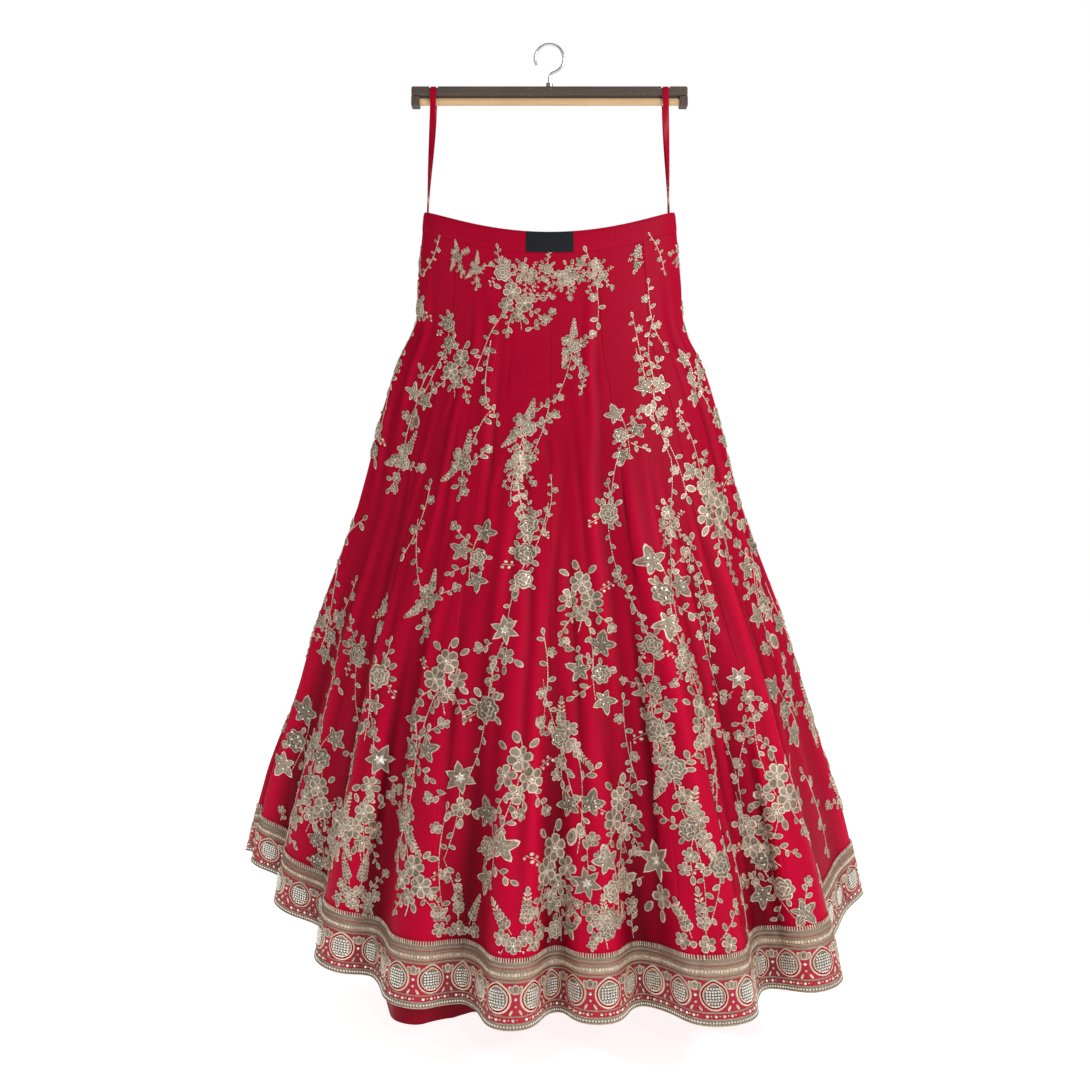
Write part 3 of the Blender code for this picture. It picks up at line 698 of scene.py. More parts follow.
rimmed = [(0.95, 0.0011, thread), (0.73, 0.0012, thread)]
shapes = {
    "leaf": stampShape("leaf", pointed(10, 0.30, 0.10, 1.25), rimmed, 0.0006, fill),
    "petal": stampShape("petal", pointed(8, 0.44, 0.30, 0.9), rimmed, 0.0006, fill),
    "sprig": stampShape("sprig", pointed(6, 0.24, 0.05, 1.1), [(0.80, 0.0011, thread)], 0.0014, thread),
    "cord": stampShape("cord", roundAbout(4, lambda a: 0.5), [(0.70, 0.0008, thread)], 0.0009, thread),
    "sequin": stampShape("sequin", roundAbout(6, lambda a: 0.5), [(0.82, 0.0010, foil)], 0.0013, foil),
    "bead": stampShape("bead", roundAbout(6, lambda a: 0.5), [(0.80, 0.0014, thread)], 0.0019, thread),
    "ivy": stampShape("ivy", roundAbout(30, pointedLobes(5, 0.50, 1.0, 0.22)),
                      [(0.97, 0.0012, thread), (0.86, 0.0013, thread), (0.80, 0.0005, fill),
                       (0.40, 0.0011, fill)], 0.0008, fill),
    "star": stampShape("star", roundAbout(24, lobes(6, 0.48, 1.0, 1.3)),
                       [(0.97, 0.0012, thread), (0.85, 0.0013, thread), (0.78, 0.0006, fill),
                        (0.34, 0.0014, fill), (0.28, 0.0018, thread), (0.20, 0.0010, foil)], 0.0014, foil),
    "rose": stampShape("rose", roundAbout(28, lobes(7, 0.80, 1.0, 0.6)),
                       [(0.97, 0.0014, thread), (0.89, 0.0015, thread), (0.84, 0.0005, fill),
                        (0.66, 0.0010, fill), (0.63, 0.0020, thread), (0.56, 0.0020, thread),
                        (0.50, 0.0008, fill), (0.33, 0.0011, fill), (0.30, 0.0019, thread),
                        (0.24, 0.0018, thread)], 0.0010, fill),
}


def repeated(shape, count):
    # an array of copies, all in one place until they are pressed onto the cloth
    holder = bpy.data.objects.new("repeated", shape)
    bpy.context.collection.objects.link(holder)
    array = holder.modifiers.new("copies", "ARRAY")
    array.count = count
    array.use_relative_offset = False
    array.use_merge_vertices = False
    graph = bpy.context.evaluated_depsgraph_get()
    mesh = bpy.data.meshes.new_from_object(holder.evaluated_get(graph))
    bpy.data.objects.remove(holder)
    return mesh


def stampPiece(name, stitches):
    # stitches: for each shape, rows of turn, level, angle, width, length, lift
    bm = bmesh.new()
    places, shades, finishOf = [], [], []
    for key in sorted(stitches):
        rows = np.array(stitches[key])
        shape = shapes[key]
        copies = repeated(shape, len(rows))
        bm.from_mesh(copies)
        unit = meshPoints(shape)
        turn, level, angle, width, length, lift = [rows[:, column:column + 1] for column in range(6)]
        x, y = unit[None, :, 0] * width, unit[None, :, 1] * length
        across, up = x * np.cos(angle) - y * np.sin(angle), x * np.sin(angle) + y * np.cos(angle)
        levelHere = level - up / fallAt(turn)
        turnHere = turn + across / girthAt(levelHere)
        liftHere = lift + unit[None, :, 2] + 0.0 * turnHere
        places.append(onCloth(turnHere.ravel(), levelHere.ravel(), liftHere.ravel()))
        # shade: a random tone for each copy, plus painted shade where the stamp sits in a valley of the cloth
        # and painted light on a ridge
        shade = np.array([random.random() for row in rows]) * 0.9 + 0.25 * paintedFoldShadeAt(rows[:, 0], rows[:, 1])
        shades.append(np.repeat(shade, len(unit)))
        finishOf.append(np.tile([face.material_index for face in shape.polygons], len(rows)))
    piece = finishedPiece(name, bm, stampFinishes)
    setPoints(piece.data, np.concatenate(places))
    piece.data.polygons.foreach_set("material_index", np.concatenate(finishOf).astype(np.int32))
    tone = piece.data.attributes.new("shade", "FLOAT", "POINT")
    tone.data.foreach_set("value", np.concatenate(shades).astype(np.float32))
    piece.data.uv_layers.new(name="cloth")
    smoothPiece(piece, 35)
    print(name, "triangles", sum(len(p.vertices) - 2 for p in piece.data.polygons))
    return piece


# sprays: each is drawn in its own flat metres, x to the right and y up

motifSet = {
    # the couched cord, in short stitches that overlap
    "cordWidth": 0.0015, "stitch": 0.0042, "overlap": 1.5,
    "leafWidth": 0.9, "leafLength": 0.93, "smallLeaf": 0.008,
    "fernFrom": 0.22, "fernSpan": 0.72, "fernAngle": 48, "fernFoot": 1.15, "fernTaper": 0.55,
    # a flower's petals, bead and sequin, as shares of its radius
    "petalAt": 0.16, "petalLength": 0.86, "heartBead": 0.42, "heartSequin": 0.26,
    "roseGlints": 7, "roseGlint": 0.0030, "roseGlintAt": (0.42, 0.75), "roseLeafAt": 0.8,
    "twigBend": 0.12, "twigAngle": (40, 62), "twigLeaf": (0.009, 0.013), "tipLeaf": 0.011,
    "ivySize": 1.12, "veinWidth": 0.0010, "ivyGlint": 0.0026,
    "berry": 0.0042, "berryAside": 0.0035, "bud": 0.0075,
    "lift": kaliSet["wall"] + 0.0001, "clearOfBorder": 0.010,
}
sprayWork = {}


def newSpray(turn, level, size, lean=0.0, flip=1):
    return {"turn": turn, "level": level, "size": size, "angle": math.radians(lean), "flip": flip}


def put(spray, shape, x, y, angle, width, length, raised=0.0):
    size, flip = spray["size"], spray["flip"]
    across, up = flip * x * size, y * size
    cos, sin = math.cos(spray["angle"]), math.sin(spray["angle"])
    right, high = across * cos - up * sin, across * sin + up * cos
    level = spray["level"] - high / float(fallAt(spray["turn"]))
    if level > borderSet["top"] - motifSet["clearOfBorder"]:
        return
    turn = spray["turn"] + right / float(girthAt(level))
    row = (turn, level, flip * angle + spray["angle"], width * size, length * size, motifSet["lift"] + raised)
    sprayWork.setdefault(int(turn % 1.0 * 4), {}).setdefault(shape, []).append(row)


def ahead(x, y, lean, reach):
    return x - math.sin(lean) * reach, y + math.cos(lean) * reach


def stem(spray, start, bend, end):
    # a couched cord on a quadratic curve
    length = math.dist(start, bend) + math.dist(bend, end)
    count = max(2, round(length * spray["size"] / motifSet["stitch"]))
    points = []
    for step in range(count + 1):
        q = step / count
        points.append([(1 - q) ** 2 * a + 2 * q * (1 - q) * b + q * q * c
                       for a, b, c in zip(start, bend, end)])
    for (x0, y0), (x1, y1) in zip(points, points[1:]):
        angle = math.atan2(-(x1 - x0), y1 - y0)
        reach = math.dist((x0, y0), (x1, y1)) * motifSet["overlap"]
        width = motifSet["cordWidth"] / spray["size"]
        put(spray, "cord", (x0 + x1) / 2, (y0 + y1) / 2, angle, width, reach)
    return points


def leafOn(spray, x, y, degrees, length, shape="leaf"):
    width, length = length * motifSet["leafWidth"], length * motifSet["leafLength"]
    put(spray, shape, x, y, math.radians(degrees), width, length)


def fern(spray, x, y, degrees, length, pairs, leafLength):
    tip = ahead(x, y, math.radians(degrees), length)
    stem(spray, (x, y), ((x + tip[0]) / 2 + 0.08 * (tip[1] - y), (y + tip[1]) / 2), tip)
    for pair in range(pairs):
        q = motifSet["fernFrom"] + motifSet["fernSpan"] * pair / (pairs - 1)
        px, py = x + (tip[0] - x) * q, y + (tip[1] - y) * q
        reach = leafLength * (motifSet["fernFoot"] - motifSet["fernTaper"] * q)
        shape = "leaf" if reach > motifSet["smallLeaf"] else "sprig"
        for side in (-1, 1):
            leafOn(spray, px, py, degrees + side * motifSet["fernAngle"], reach, shape)
    leafOn(spray, *tip, degrees, leafLength * 0.9)


def flower(spray, x, y, radius, petals=5, turned=0.0):
    for petal in range(petals):
        degrees = turned + 360.0 * petal / petals
        foot = ahead(x, y, math.radians(degrees), radius * motifSet["petalAt"])
        leafOn(spray, *foot, degrees, radius * motifSet["petalLength"], "petal")
    for shape, share, raised in (("bead", "heartBead", 0.0006), ("sequin", "heartSequin", 0.0016)):
        put(spray, shape, x, y, 0.0, radius * motifSet[share], radius * motifSet[share], raised)


def rose(spray, x, y, radius, leaves=3):
    for leaf in range(leaves):
        degrees = random.uniform(0, 360)
        foot = ahead(x, y, math.radians(degrees), radius * motifSet["roseLeafAt"])
        leafOn(spray, *foot, degrees, radius * motifSet["roseLeafAt"])
    put(spray, "rose", x, y, random.uniform(0, 6), radius, radius, 0.0003)
    size, count = motifSet["roseGlint"], motifSet["roseGlints"]
    for glint in range(count):
        reach = radius * motifSet["roseGlintAt"][glint % 2]
        place = ahead(x, y, 2 * math.pi * glint / count + x, reach)
        put(spray, "sequin", *place, 0.0, size, size, 0.0012)


def ivy(spray, x, y, degrees, radius):
    radius *= motifSet["ivySize"]
    put(spray, "ivy", x, y, math.radians(degrees), radius, radius, 0.0001)
    vein, size = motifSet["veinWidth"] / spray["size"], motifSet["ivyGlint"]
    for lobe in range(5):
        lean = math.radians(degrees + 72 * lobe)
        reach = radius * 0.5
        put(spray, "cord", *ahead(x, y, lean, reach * 0.9), lean, vein, reach * 1.5, 0.0009)
        put(spray, "sequin", *ahead(x, y, lean + 0.5, reach * 0.7), 0.0, size, size, 0.0009)


def twig(spray, x, y, degrees, length, count, bud=True):
    tip = ahead(x, y, math.radians(degrees), length)
    side = random.choice((-1, 1))
    bend = ((x + tip[0]) / 2 + side * motifSet["twigBend"] * length, (y + tip[1]) / 2)
    points = stem(spray, (x, y), bend, tip)
    for number in range(count):
        px, py = points[min(len(points) - 1, 1 + number * (len(points) - 1) // count)]
        side = -side
        angle = degrees + side * random.uniform(*motifSet["twigAngle"])
        leafOn(spray, px, py, angle, random.uniform(*motifSet["twigLeaf"]))
    if bud:
        flower(spray, *tip, motifSet["bud"], 5, degrees)
    else:
        leafOn(spray, *tip, degrees, motifSet["tipLeaf"])


def berries(spray, x, y, degrees, length, count):
    lean = math.radians(degrees)
    tip = ahead(x, y, lean, length)
    stem(spray, (x, y), ((x + tip[0]) / 2, (y + tip[1]) / 2), tip)
    for number in range(count):
        q = (number + 1) / count
        side = motifSet["berryAside"] * (-1) ** number
        px, py = x + (tip[0] - x) * q + side * math.cos(lean), y + (tip[1] - y) * q + side * math.sin(lean)
        put(spray, "bead", px, py, 0.0, motifSet["berry"], motifSet["berry"])


def longVine(spray):
    points = stem(spray, (0.0, 0.062), (0.014, 0.0), (-0.002, -0.062))
    for number in range(7):
        x, y = points[2 + number * (len(points) - 4) // 6]
        side = -1 if number % 2 else 1
        leafOn(spray, x, y, 90 * side + random.uniform(-25, 25), random.uniform(0.011, 0.015))
        if number % 3 == 1:
            flower(spray, x - side * 0.008, y, 0.0085, 5, random.uniform(0, 70))


anyTurn = [0, 70]
# what each spray is made of: x, y and then angle, size and so on, where a list is a range to draw from
designs = {
    "ivyBunch": (
        (stem, (-0.01, 0.048), (0.008, 0.01), (0.0, -0.045)), (ivy, -0.012, 0.030, 12, 0.0165),
        (ivy, 0.017, 0.002, -70, 0.0155), (rose, -0.008, -0.004, 0.0135), (ivy, -0.010, -0.036, 170, 0.0150),
        (twig, 0.004, 0.012, -52, 0.040, 5), (twig, 0.006, -0.018, -120, 0.026, 3, False)),
    "flowerBunch": (
        (stem, (0.0, 0.045), (0.012, 0.01), (-0.004, -0.045)), (flower, 0.002, 0.020, 0.0165, 6, anyTurn),
        (flower, -0.015, 0.000, 0.0140, 5, anyTurn), (flower, 0.015, -0.004, 0.0165, 6, anyTurn),
        (flower, -0.002, -0.020, 0.0125, 5, anyTurn), (leafOn, -0.020, -0.010, 125, 0.014),
        (leafOn, 0.006, -0.026, 195, 0.015), (leafOn, -0.002, 0.037, 12, 0.016),
        (leafOn, -0.014, 0.030, 55, 0.015), (leafOn, 0.014, 0.032, -42, 0.015),
        (twig, -0.012, -0.018, 150, 0.030, 4, False), (twig, 0.018, -0.016, -140, 0.034, 4),
        (berries, 0.026, 0.008, -60, 0.020, 5)),
    "fernSpray": (
        (rose, 0.004, 0.002, 0.0130, 3), (fern, 0.003, 0.010, [-14, 12], [0.030, 0.040], 6, 0.010),
        (fern, -0.010, -0.008, [128, 158], [0.022, 0.030], 5, 0.009),
        (twig, 0.012, 0.004, [-84, -44], [0.026, 0.040], 5), (flower, -0.008, 0.014, 0.0110, 5, anyTurn),
        (flower, -0.012, -0.006, 0.0100, 5, anyTurn), (stem, (0.0, -0.008), (0.006, -0.028), (0.002, -0.048)),
        (flower, 0.004, -0.026, 0.0095), (flower, 0.010, -0.042, 0.0085),
        (leafOn, -0.002, -0.034, 120, 0.013), (leafOn, 0.002, -0.048, 175, 0.012)),
    "hangingVine": ((longVine,), (leafOn, -0.002, -0.062, 178, 0.015), (leafOn, 0.0, 0.060, 8, 0.012)),
    "roseSpray": (
        (rose, 0.0, 0.0, 0.0170, 4), (leafOn, -0.010, 0.014, 38, 0.015), (leafOn, 0.012, 0.012, -50, 0.014),
        (twig, 0.002, 0.016, -6, 0.030, 4, False), (berries, -0.016, -0.006, 120, 0.018, 4)),
    "starSpray": (
        (put, "star", 0.0, 0.012, 0.2, 0.0210, 0.0210), (flower, 0.004, -0.022, 0.0130, 5, 20),
        (leafOn, -0.008, -0.028, 140, 0.015), (leafOn, 0.016, -0.026, -130, 0.015),
        (twig, -0.016, -0.006, 112, 0.022, 3), (leafOn, 0.003, -0.034, 178, 0.014)),
    "bush": (
        (fern, -0.014, -0.010, [24, 40], 0.040, 6, 0.011),
        (fern, 0.002, -0.008, [-6, 14], [0.044, 0.058], 7, 0.011),
        (twig, 0.018, -0.010, [-36, -16], 0.046, 6), (flower, -0.026, -0.015, 0.0110, 5, anyTurn),
        (flower, -0.012, -0.023, 0.0110, 6, anyTurn), (flower, 0.003, -0.015, 0.0110, 5, anyTurn),
        (flower, 0.018, -0.023, 0.0110, 6, anyTurn), (flower, 0.030, -0.015, 0.0110, 5, anyTurn),
        (rose, -0.004, -0.034, 0.0115, 2), (ivy, 0.022, -0.036, 160, 0.0120),
        (ivy, -0.028, -0.036, 190, 0.0120)),
    "sprig": ((twig, 0.0, -0.022, 0, 0.046, 6), (leafOn, 0.0, -0.020, 165, 0.013)),
    "ivyPair": (
        (stem, (0.002, 0.060), (-0.008, 0.02), (0.004, -0.050)), (ivy, -0.013, 0.004, 14, 0.0150),
        (ivy, 0.013, 0.002, -20, 0.0150), (leafOn, 0.002, -0.016, 168, 0.016),
        (leafOn, 0.006, -0.022, 200, 0.024), (leafOn, -0.002, -0.034, 150, 0.014),
        (twig, -0.002, 0.030, 50, 0.022, 3, False), (flower, -0.014, -0.034, 0.0090)),
    "roseRow": (
        (rose, 0.0, 0.017, 0.0150, 4), (rose, 0.004, -0.016, 0.0130, 4), (leafOn, 0.002, 0.030, 5, 0.014),
        (leafOn, -0.002, -0.028, 172, 0.017), (berries, -0.012, 0.0, 100, 0.014, 4)),
}


def drawSpray(design, *place):
    spray = newSpray(*place)
    for part, *values in designs[design]:
        part(spray, *[random.uniform(*value) if isinstance(value, list) else value for value in values])


# on the front: design, how far right of the middle, height, size, lean in degrees, and -1 if it is mirrored
frontSprays = (
    ("flowerBunch", -0.050, -0.375, 0.85, 20), ("sprig", -0.012, -0.400, 0.85, -50),
    ("hangingVine", 0.062, -0.350, 0.85, 8), ("sprig", 0.050, -0.490, 0.60, -20),
    ("fernSpray", -0.035, -0.560, 0.95), ("hangingVine", -0.048, -0.625, 0.60, -10, -1),
    ("hangingVine", -0.002, -0.665, 0.55, -6), ("roseRow", -0.038, -0.755, 1.05, -8),
    ("ivyBunch", 0.206, -0.480, 0.80, -10), ("sprig", 0.190, -0.540, 0.75, 170),
    ("ivyBunch", 0.222, -0.635, 0.80, 20), ("flowerBunch", 0.236, -0.672, 1.30, 10),
    ("sprig", 0.205, -0.735, 0.90, 160, -1), ("sprig", 0.262, -0.760, 0.80, 190),
    ("flowerBunch", 0.172, -0.690, 0.65), ("ivyBunch", 0.172, -0.790, 1.25),
    ("sprig", 0.215, -0.790, 0.75, -8), ("sprig", 0.238, -0.825, 0.90),
    ("ivyPair", 0.308, -0.830, 1.10, -6), ("roseSpray", 0.150, -0.870, 0.80, 20),
    ("flowerBunch", 0.198, -0.895, 0.70, 0, -1), ("hangingVine", 0.232, -0.890, 0.85, 4, -1),
    ("starSpray", 0.278, -0.930, 0.80, 6), ("ivyBunch", 0.146, -0.935, 0.75, 30, -1),
    ("roseSpray", 0.153, -0.990, 1.05), ("flowerBunch", 0.222, -0.980, 1.00, 15),
    ("sprig", 0.292, -0.975, 0.90, -70), ("ivyBunch", 0.340, -0.955, 1.15, 20),
    ("sprig", 0.300, -1.010, 1.00, 60), ("fernSpray", 0.178, -1.055, 1.20, 10),
    ("sprig", 0.240, -1.060, 0.75, -20), ("hangingVine", 0.270, -1.085, 0.95),
    ("flowerBunch", 0.328, -1.085, 1.15, -12), ("hangingVine", 0.386, -1.110, 1.00, 12),
    ("fernSpray", 0.208, -1.140, 1.10, -6, -1), ("roseSpray", 0.247, -1.190, 1.00, -20),
    ("flowerBunch", 0.300, -1.150, 1.00, 30, -1), ("starSpray", 0.160, -1.200, 1.30),
    ("ivyBunch", 0.330, -1.225, 1.15, 30, -1), ("sprig", 0.372, -1.240, 1.05, -20),
    ("bush", 0.225, -1.285, 1.05, -4), ("sprig", 0.120, -1.270, 1.05),
    ("flowerBunch", 0.105, -1.120, 1.05, 0, -1), ("ivyBunch", 0.095, -1.220, 1.05),
    ("hangingVine", 0.118, -1.010, 0.90, 5, -1), ("fernSpray", 0.080, -1.290, 0.90),
    ("hangingVine", -0.298, -0.815, 0.80, -14), ("ivyBunch", -0.320, -0.850, 0.85, -10, -1),
    ("roseRow", -0.242, -0.830, 0.85), ("roseSpray", -0.278, -0.885, 1.00, 40),
    ("roseSpray", -0.244, -0.915, 1.00, -10, -1), ("sprig", -0.312, -0.915, 0.95, 60),
    ("ivyPair", -0.262, -0.960, 0.85, 10, -1), ("ivyBunch", -0.356, -1.010, 1.30, -12),
    ("ivyBunch", -0.335, -1.030, 1.10, 160), ("starSpray", -0.250, -1.050, 1.10, -6, -1),
    ("flowerBunch", -0.340, -1.095, 1.05), ("sprig", -0.394, -1.130, 1.00, -8),
    ("fernSpray", -0.300, -1.140, 0.95, -10, -1), ("flowerBunch", -0.270, -1.135, 0.95, 0, -1),
    ("ivyBunch", -0.330, -1.185, 0.90), ("bush", -0.275, -1.215, 0.85, -8),
    # the middle of the front, down to the hem
    ("roseSpray", -0.068, -0.330, 0.75, 20), ("sprig", 0.000, -0.520, 0.75, -60),
    ("roseSpray", -0.030, -0.700, 0.90, 0, -1), ("flowerBunch", -0.046, -0.610, 0.60),
    ("sprig", -0.085, -0.530, 0.80, 40), ("flowerBunch", -0.130, -0.470, 0.85, 0, -1),
    ("hangingVine", 0.125, -0.440, 0.75), ("ivyBunch", 0.110, -0.560, 0.85),
    ("fernSpray", -0.125, -0.610, 0.90), ("roseSpray", 0.085, -0.680, 0.90),
    ("hangingVine", -0.190, -0.690, 0.85, -8), ("ivyBunch", -0.110, -0.740, 0.95, 0, -1),
    ("flowerBunch", 0.045, -0.800, 1.00), ("sprig", 0.110, -0.790, 0.95, 20),
    ("fernSpray", -0.175, -0.810, 0.95), ("starSpray", -0.065, -0.860, 1.00),
    ("ivyBunch", 0.065, -0.910, 1.05, 0, -1), ("hangingVine", -0.010, -0.920, 0.95),
    ("flowerBunch", -0.150, -0.920, 1.05, 0, -1), ("roseSpray", -0.090, -0.965, 1.10),
    ("fernSpray", 0.020, -1.010, 1.05, 0, -1), ("ivyBunch", -0.195, -1.020, 1.05),
    ("flowerBunch", -0.045, -1.060, 1.10), ("starSpray", -0.130, -1.080, 1.10),
    ("ivyPair", 0.045, -1.110, 1.10, 0, -1), ("fernSpray", -0.210, -1.130, 1.05, 0, -1),
    ("ivyBunch", -0.080, -1.160, 1.15), ("hangingVine", -0.155, -1.180, 1.00, 0, -1),
    ("flowerBunch", 0.010, -1.190, 1.15, 0, -1), ("starSpray", 0.055, -1.230, 1.00),
    ("bush", -0.040, -1.275, 1.00), ("bush", -0.130, -1.265, 0.95, 0, -1),
    ("flowerBunch", -0.200, -1.215, 0.95), ("ivyBunch", 0.015, -1.280, 0.90),
)

# the waist garland under the tag: design, turn, level, size, lean
waistSprays = (
    ("sprig", -0.055, 0.052, 0.80, 70), ("flowerBunch", -0.040, 0.060, 0.50, 30),
    ("sprig", -0.022, 0.068, 0.62, 84), ("roseSpray", -0.004, 0.052, 0.50),
    ("sprig", 0.010, 0.062, 0.66, -84), ("flowerBunch", 0.026, 0.064, 0.55, -30),
    ("ivyBunch", 0.043, 0.060, 0.52, -50), ("sprig", 0.063, 0.056, 0.66, -50),
    ("flowerBunch", 0.082, 0.064, 0.50), ("sprig", -0.036, 0.092, 0.80, 88),
    ("sprig", -0.012, 0.090, 0.60, -92),
)

# elsewhere, rows of sprays: level, how many all round, size, where each row starts
roundRows = ((0.060, 22, 0.50, 0.3), (0.150, 14, 0.80, 0.6), (0.245, 15, 0.90, 0.1), (0.335, 17, 0.95, 0.5),
             (0.425, 20, 1.00, 0.2), (0.510, 24, 1.05, 0.7), (0.590, 28, 1.05, 0.4), (0.665, 32, 1.05, 0.0),
             (0.740, 36, 1.05, 0.5), (0.810, 40, 1.05, 0.2), (0.870, 44, 1.00, 0.8))


def viewedPlaces():
    # where each cloth point of the front shows, on the upright plane through the hanger
    near = np.array(cameraSet["place"])
    depth = 1.0 / (1.0 - clothPoints[:, :, 1] / near[1])
    across = near[0] + (clothPoints[:, :, 0] - near[0]) * depth
    height = near[2] + (clothPoints[:, :, 2] - near[2]) * depth
    facing = ((near - clothPoints) * clothOut).sum(axis=2) > 0.08
    return across, height, facing & (clothPoints[:, :, 1] < 0.14)


def spotOn(views, x, z):
    across, height, facing = views
    away = (across - x) ** 2 + (height - z) ** 2 + np.where(facing, 0.0, 1.0) + 0.0004 * clothPoints[:, :, 1]
    i, j = np.unravel_index(np.argmin(away), away.shape)
    return clothTurns[j], clothLevels[i]


# room: clear metres that a spray of size 1 wants from the middle of the next one
roundSet = {"room": 0.058, "aside": 0.12, "upDown": 0.016, "lean": 25, "bushFrom": 0.8}
joinSet = {"near": 0.055, "far": 0.120, "sway": 0.10, "widest": 0.42, "from": 0.13,
           "leafPitch": 0.014, "leafAngle": (110, 150), "leafLength": (0.009, 0.013)}


def joinSprays(taken):
    # a leafy stem from each spray to the next one down, where that is neither too near nor too far
    for turn, level in taken:
        if level < joinSet["from"]:
            continue
        width, fall = float(girthAt(level)), float(fallAt(turn))
        below = []
        for otherTurn, otherLevel in taken:
            across = ((otherTurn - turn + 0.5) % 1.0 - 0.5) * width
            down = (otherLevel - level) * fall
            length = math.hypot(across, down)
            if joinSet["near"] < length < joinSet["far"] and abs(across) < joinSet["widest"] * down:
                below.append((length, across, -down))
        if not below:
            continue
        length, across, up = min(below)
        vine = newSpray(turn, level, 1.0)
        sway = random.choice((-1, 1)) * joinSet["sway"] * length
        points = stem(vine, (0.0, 0.0), (across / 2 + sway, up / 2), (across, up))
        leaves = round(length / joinSet["leafPitch"])
        for number in range(1, leaves):
            x, y = points[number * (len(points) - 1) // leaves]
            side = -1 if number % 2 else 1
            lean = math.degrees(math.atan2(-across, up)) + side * random.uniform(*joinSet["leafAngle"])
            leafOn(vine, x, y, lean + 180, random.uniform(*joinSet["leafLength"]))


def makeEmbroidery():
    views = viewedPlaces()
    taken = []
    for design, x, z, *rest in frontSprays:
        turn, level = spotOn(views, x, z)
        taken.append((turn, level))
        drawSpray(design, turn, level, *rest)
    for design, turn, level, *rest in waistSprays:
        taken.append((turn, level))
        drawSpray(design, turn, level, *rest)
    names = sorted(designs)
    fitting = {True: [name for name in names if name != "bush"], False: names}
    eitherWay = lambda most: random.uniform(-most, most)
    for level, count, size, start in roundRows:
        for number in range(count):
            turn = ((number + start) / count + eitherWay(roundSet["aside"]) / count) % 1.0
            place = level + eitherWay(roundSet["upDown"])
            design = random.choice(fitting[level < roundSet["bushFrom"]])
            lean, flip = eitherWay(roundSet["lean"]), random.choice((-1, 1))
            girth, room = float(girthAt(place)), roundSet["room"] * size
            if not any(math.hypot(((turn - otherTurn + 0.5) % 1.0 - 0.5) * girth,
                                  (place - otherLevel) * kaliSet["length"]) < room
                       for otherTurn, otherLevel in taken):
                taken.append((turn, place))
                drawSpray(design, turn, place, size, lean, flip)
    joinSprays(taken)
    print("sprays", len(taken))
    sides = ("frontRight", "backRight", "backLeft", "frontLeft")
    for quarter, side in enumerate(sides):
        stampPiece(f"zariSprays_{side}", sprayWork[quarter])


# the hem border

def hemLevel(up):
    # the level at a height above the hem
    return 1.0 - up / (borderSet["height"] / (1.0 - borderSet["top"]))


def makeBorderCloths():
    for number, side in enumerate(("front", "back")):
        start = -0.25 + 0.5 * number

        def plan(x, down, z):
            edge = 0.0004 * np.abs(2.0 * down - 1.0) ** 10
            level = borderSet["top"] + (1.0 - borderSet["top"]) * down
            lift = borderSet["clothLift"] + z * (borderSet["clothWall"] - edge)
            return start + 0.00005 + 0.4999 * x, level, lift

        piece = clothPiece(f"zariBorder_{side}", plan, 480, 12, borderCloth)
        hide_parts(f"hem_border_{side}")


def makeBorderWork():
    shape = borderSet
    girth = float(girthAt(1.0))
    pitch = 1.0 / shape["medallionCount"]
    for number, side in enumerate(("front", "back")):
        start = -0.25 + 0.5 * number
        stitches = {}

        def lay(kind, turn, up, angle, width, length, raised=0.0):
            row = (turn, hemLevel(up), angle, width, length, borderSet["lift"] + raised)
            stitches.setdefault(kind, []).append(row)

        for medallion in range(shape["medallionCount"] // 2):
            turn = start + (medallion + 0.5) * pitch
            middle, size = shape["medallionMiddle"], shape["sequinSize"]
            lay("medallion", turn, middle, 0.0, shape["medallionWidth"], shape["medallionHeight"])
            for row in range(shape["sequinRows"]):
                up = (row - shape["sequinRows"] // 2) * shape["rowPitch"] + shape["rowShift"]
                half = shape["filledWidth"] * math.sqrt(max(0.0, 1.0 - (up / shape["filledHeight"]) ** 2))
                count = max(1, int(2 * half / shape["sequinPitch"]))
                for column in range(count):
                    across = (column - (count - 1) / 2) * shape["sequinPitch"]
                    lay("sequin", turn + across / girth, middle + up, 0.0, size, size, 0.0014)
            for kind, aside, up, degrees, width, length, raised in shape["between"]:
                lay(kind, turn + pitch / 2 + aside / girth, up, math.radians(degrees), width, length, raised)
            dot, bead = shape["dotSize"], shape["beadSize"]
            for across in shape["dots"]:
                lay("sequin", turn + across / girth, shape["dotUp"], 0.0, dot, dot)
                lay("bead", turn + (across + shape["beadAside"]) / girth, shape["dotUp"] + shape["beadUp"],
                    0.0, bead, bead)
        for kind, up, spacing, width, length in shape["closeRows"]:
            count = int(0.5 * girth / spacing)
            for number in range(count):
                lay(kind, start + 0.5 * (number + 0.5) / count, up, 0.0, width, length)
        stampPiece(f"zariBorderWork_{side}", stitches)


def makeRidges():
    # corded rows that run along the whole border
    for number, side in enumerate(("front", "back")):
        start = -0.25 + 0.5 * number
        bm = bmesh.new()
        rows = []
        for up, half, height in borderSet["ridges"]:
            before = len(bm.verts)
            bmesh.ops.create_grid(bm, x_segments=440, y_segments=2, size=0.5)
            bm.verts.ensure_lookup_table()
            for vert in bm.verts[before:]:
                rows.append((start + 0.0004 + 0.4992 * (vert.co.x + 0.5), up + 2 * half * vert.co.y,
                             height * (1.0 - 2.0 * abs(vert.co.y)) - 0.0001))
        piece = finishedPiece(f"zariCords_{side}", bm, [zariThread])
        turn, up, raised = np.array(rows).T
        setPoints(piece.data, onCloth(turn, hemLevel(up), borderSet["lift"] + raised))
        piece.data.attributes.new("shade", "FLOAT", "POINT")
        piece.data.uv_layers.new(name="cloth")
        smoothPiece(piece, 60)


medallionSteps = [(0.97, 0.0010, thread), (0.88, 0.0012, thread), (0.86, 0.0002, redSilk),
                  (0.78, 0.0002, redSilk), (0.76, 0.0014, thread), (0.69, 0.0015, thread),
                  (0.66, 0.0006, fill), (0.44, 0.0007, fill), (0.22, 0.0007, fill)]


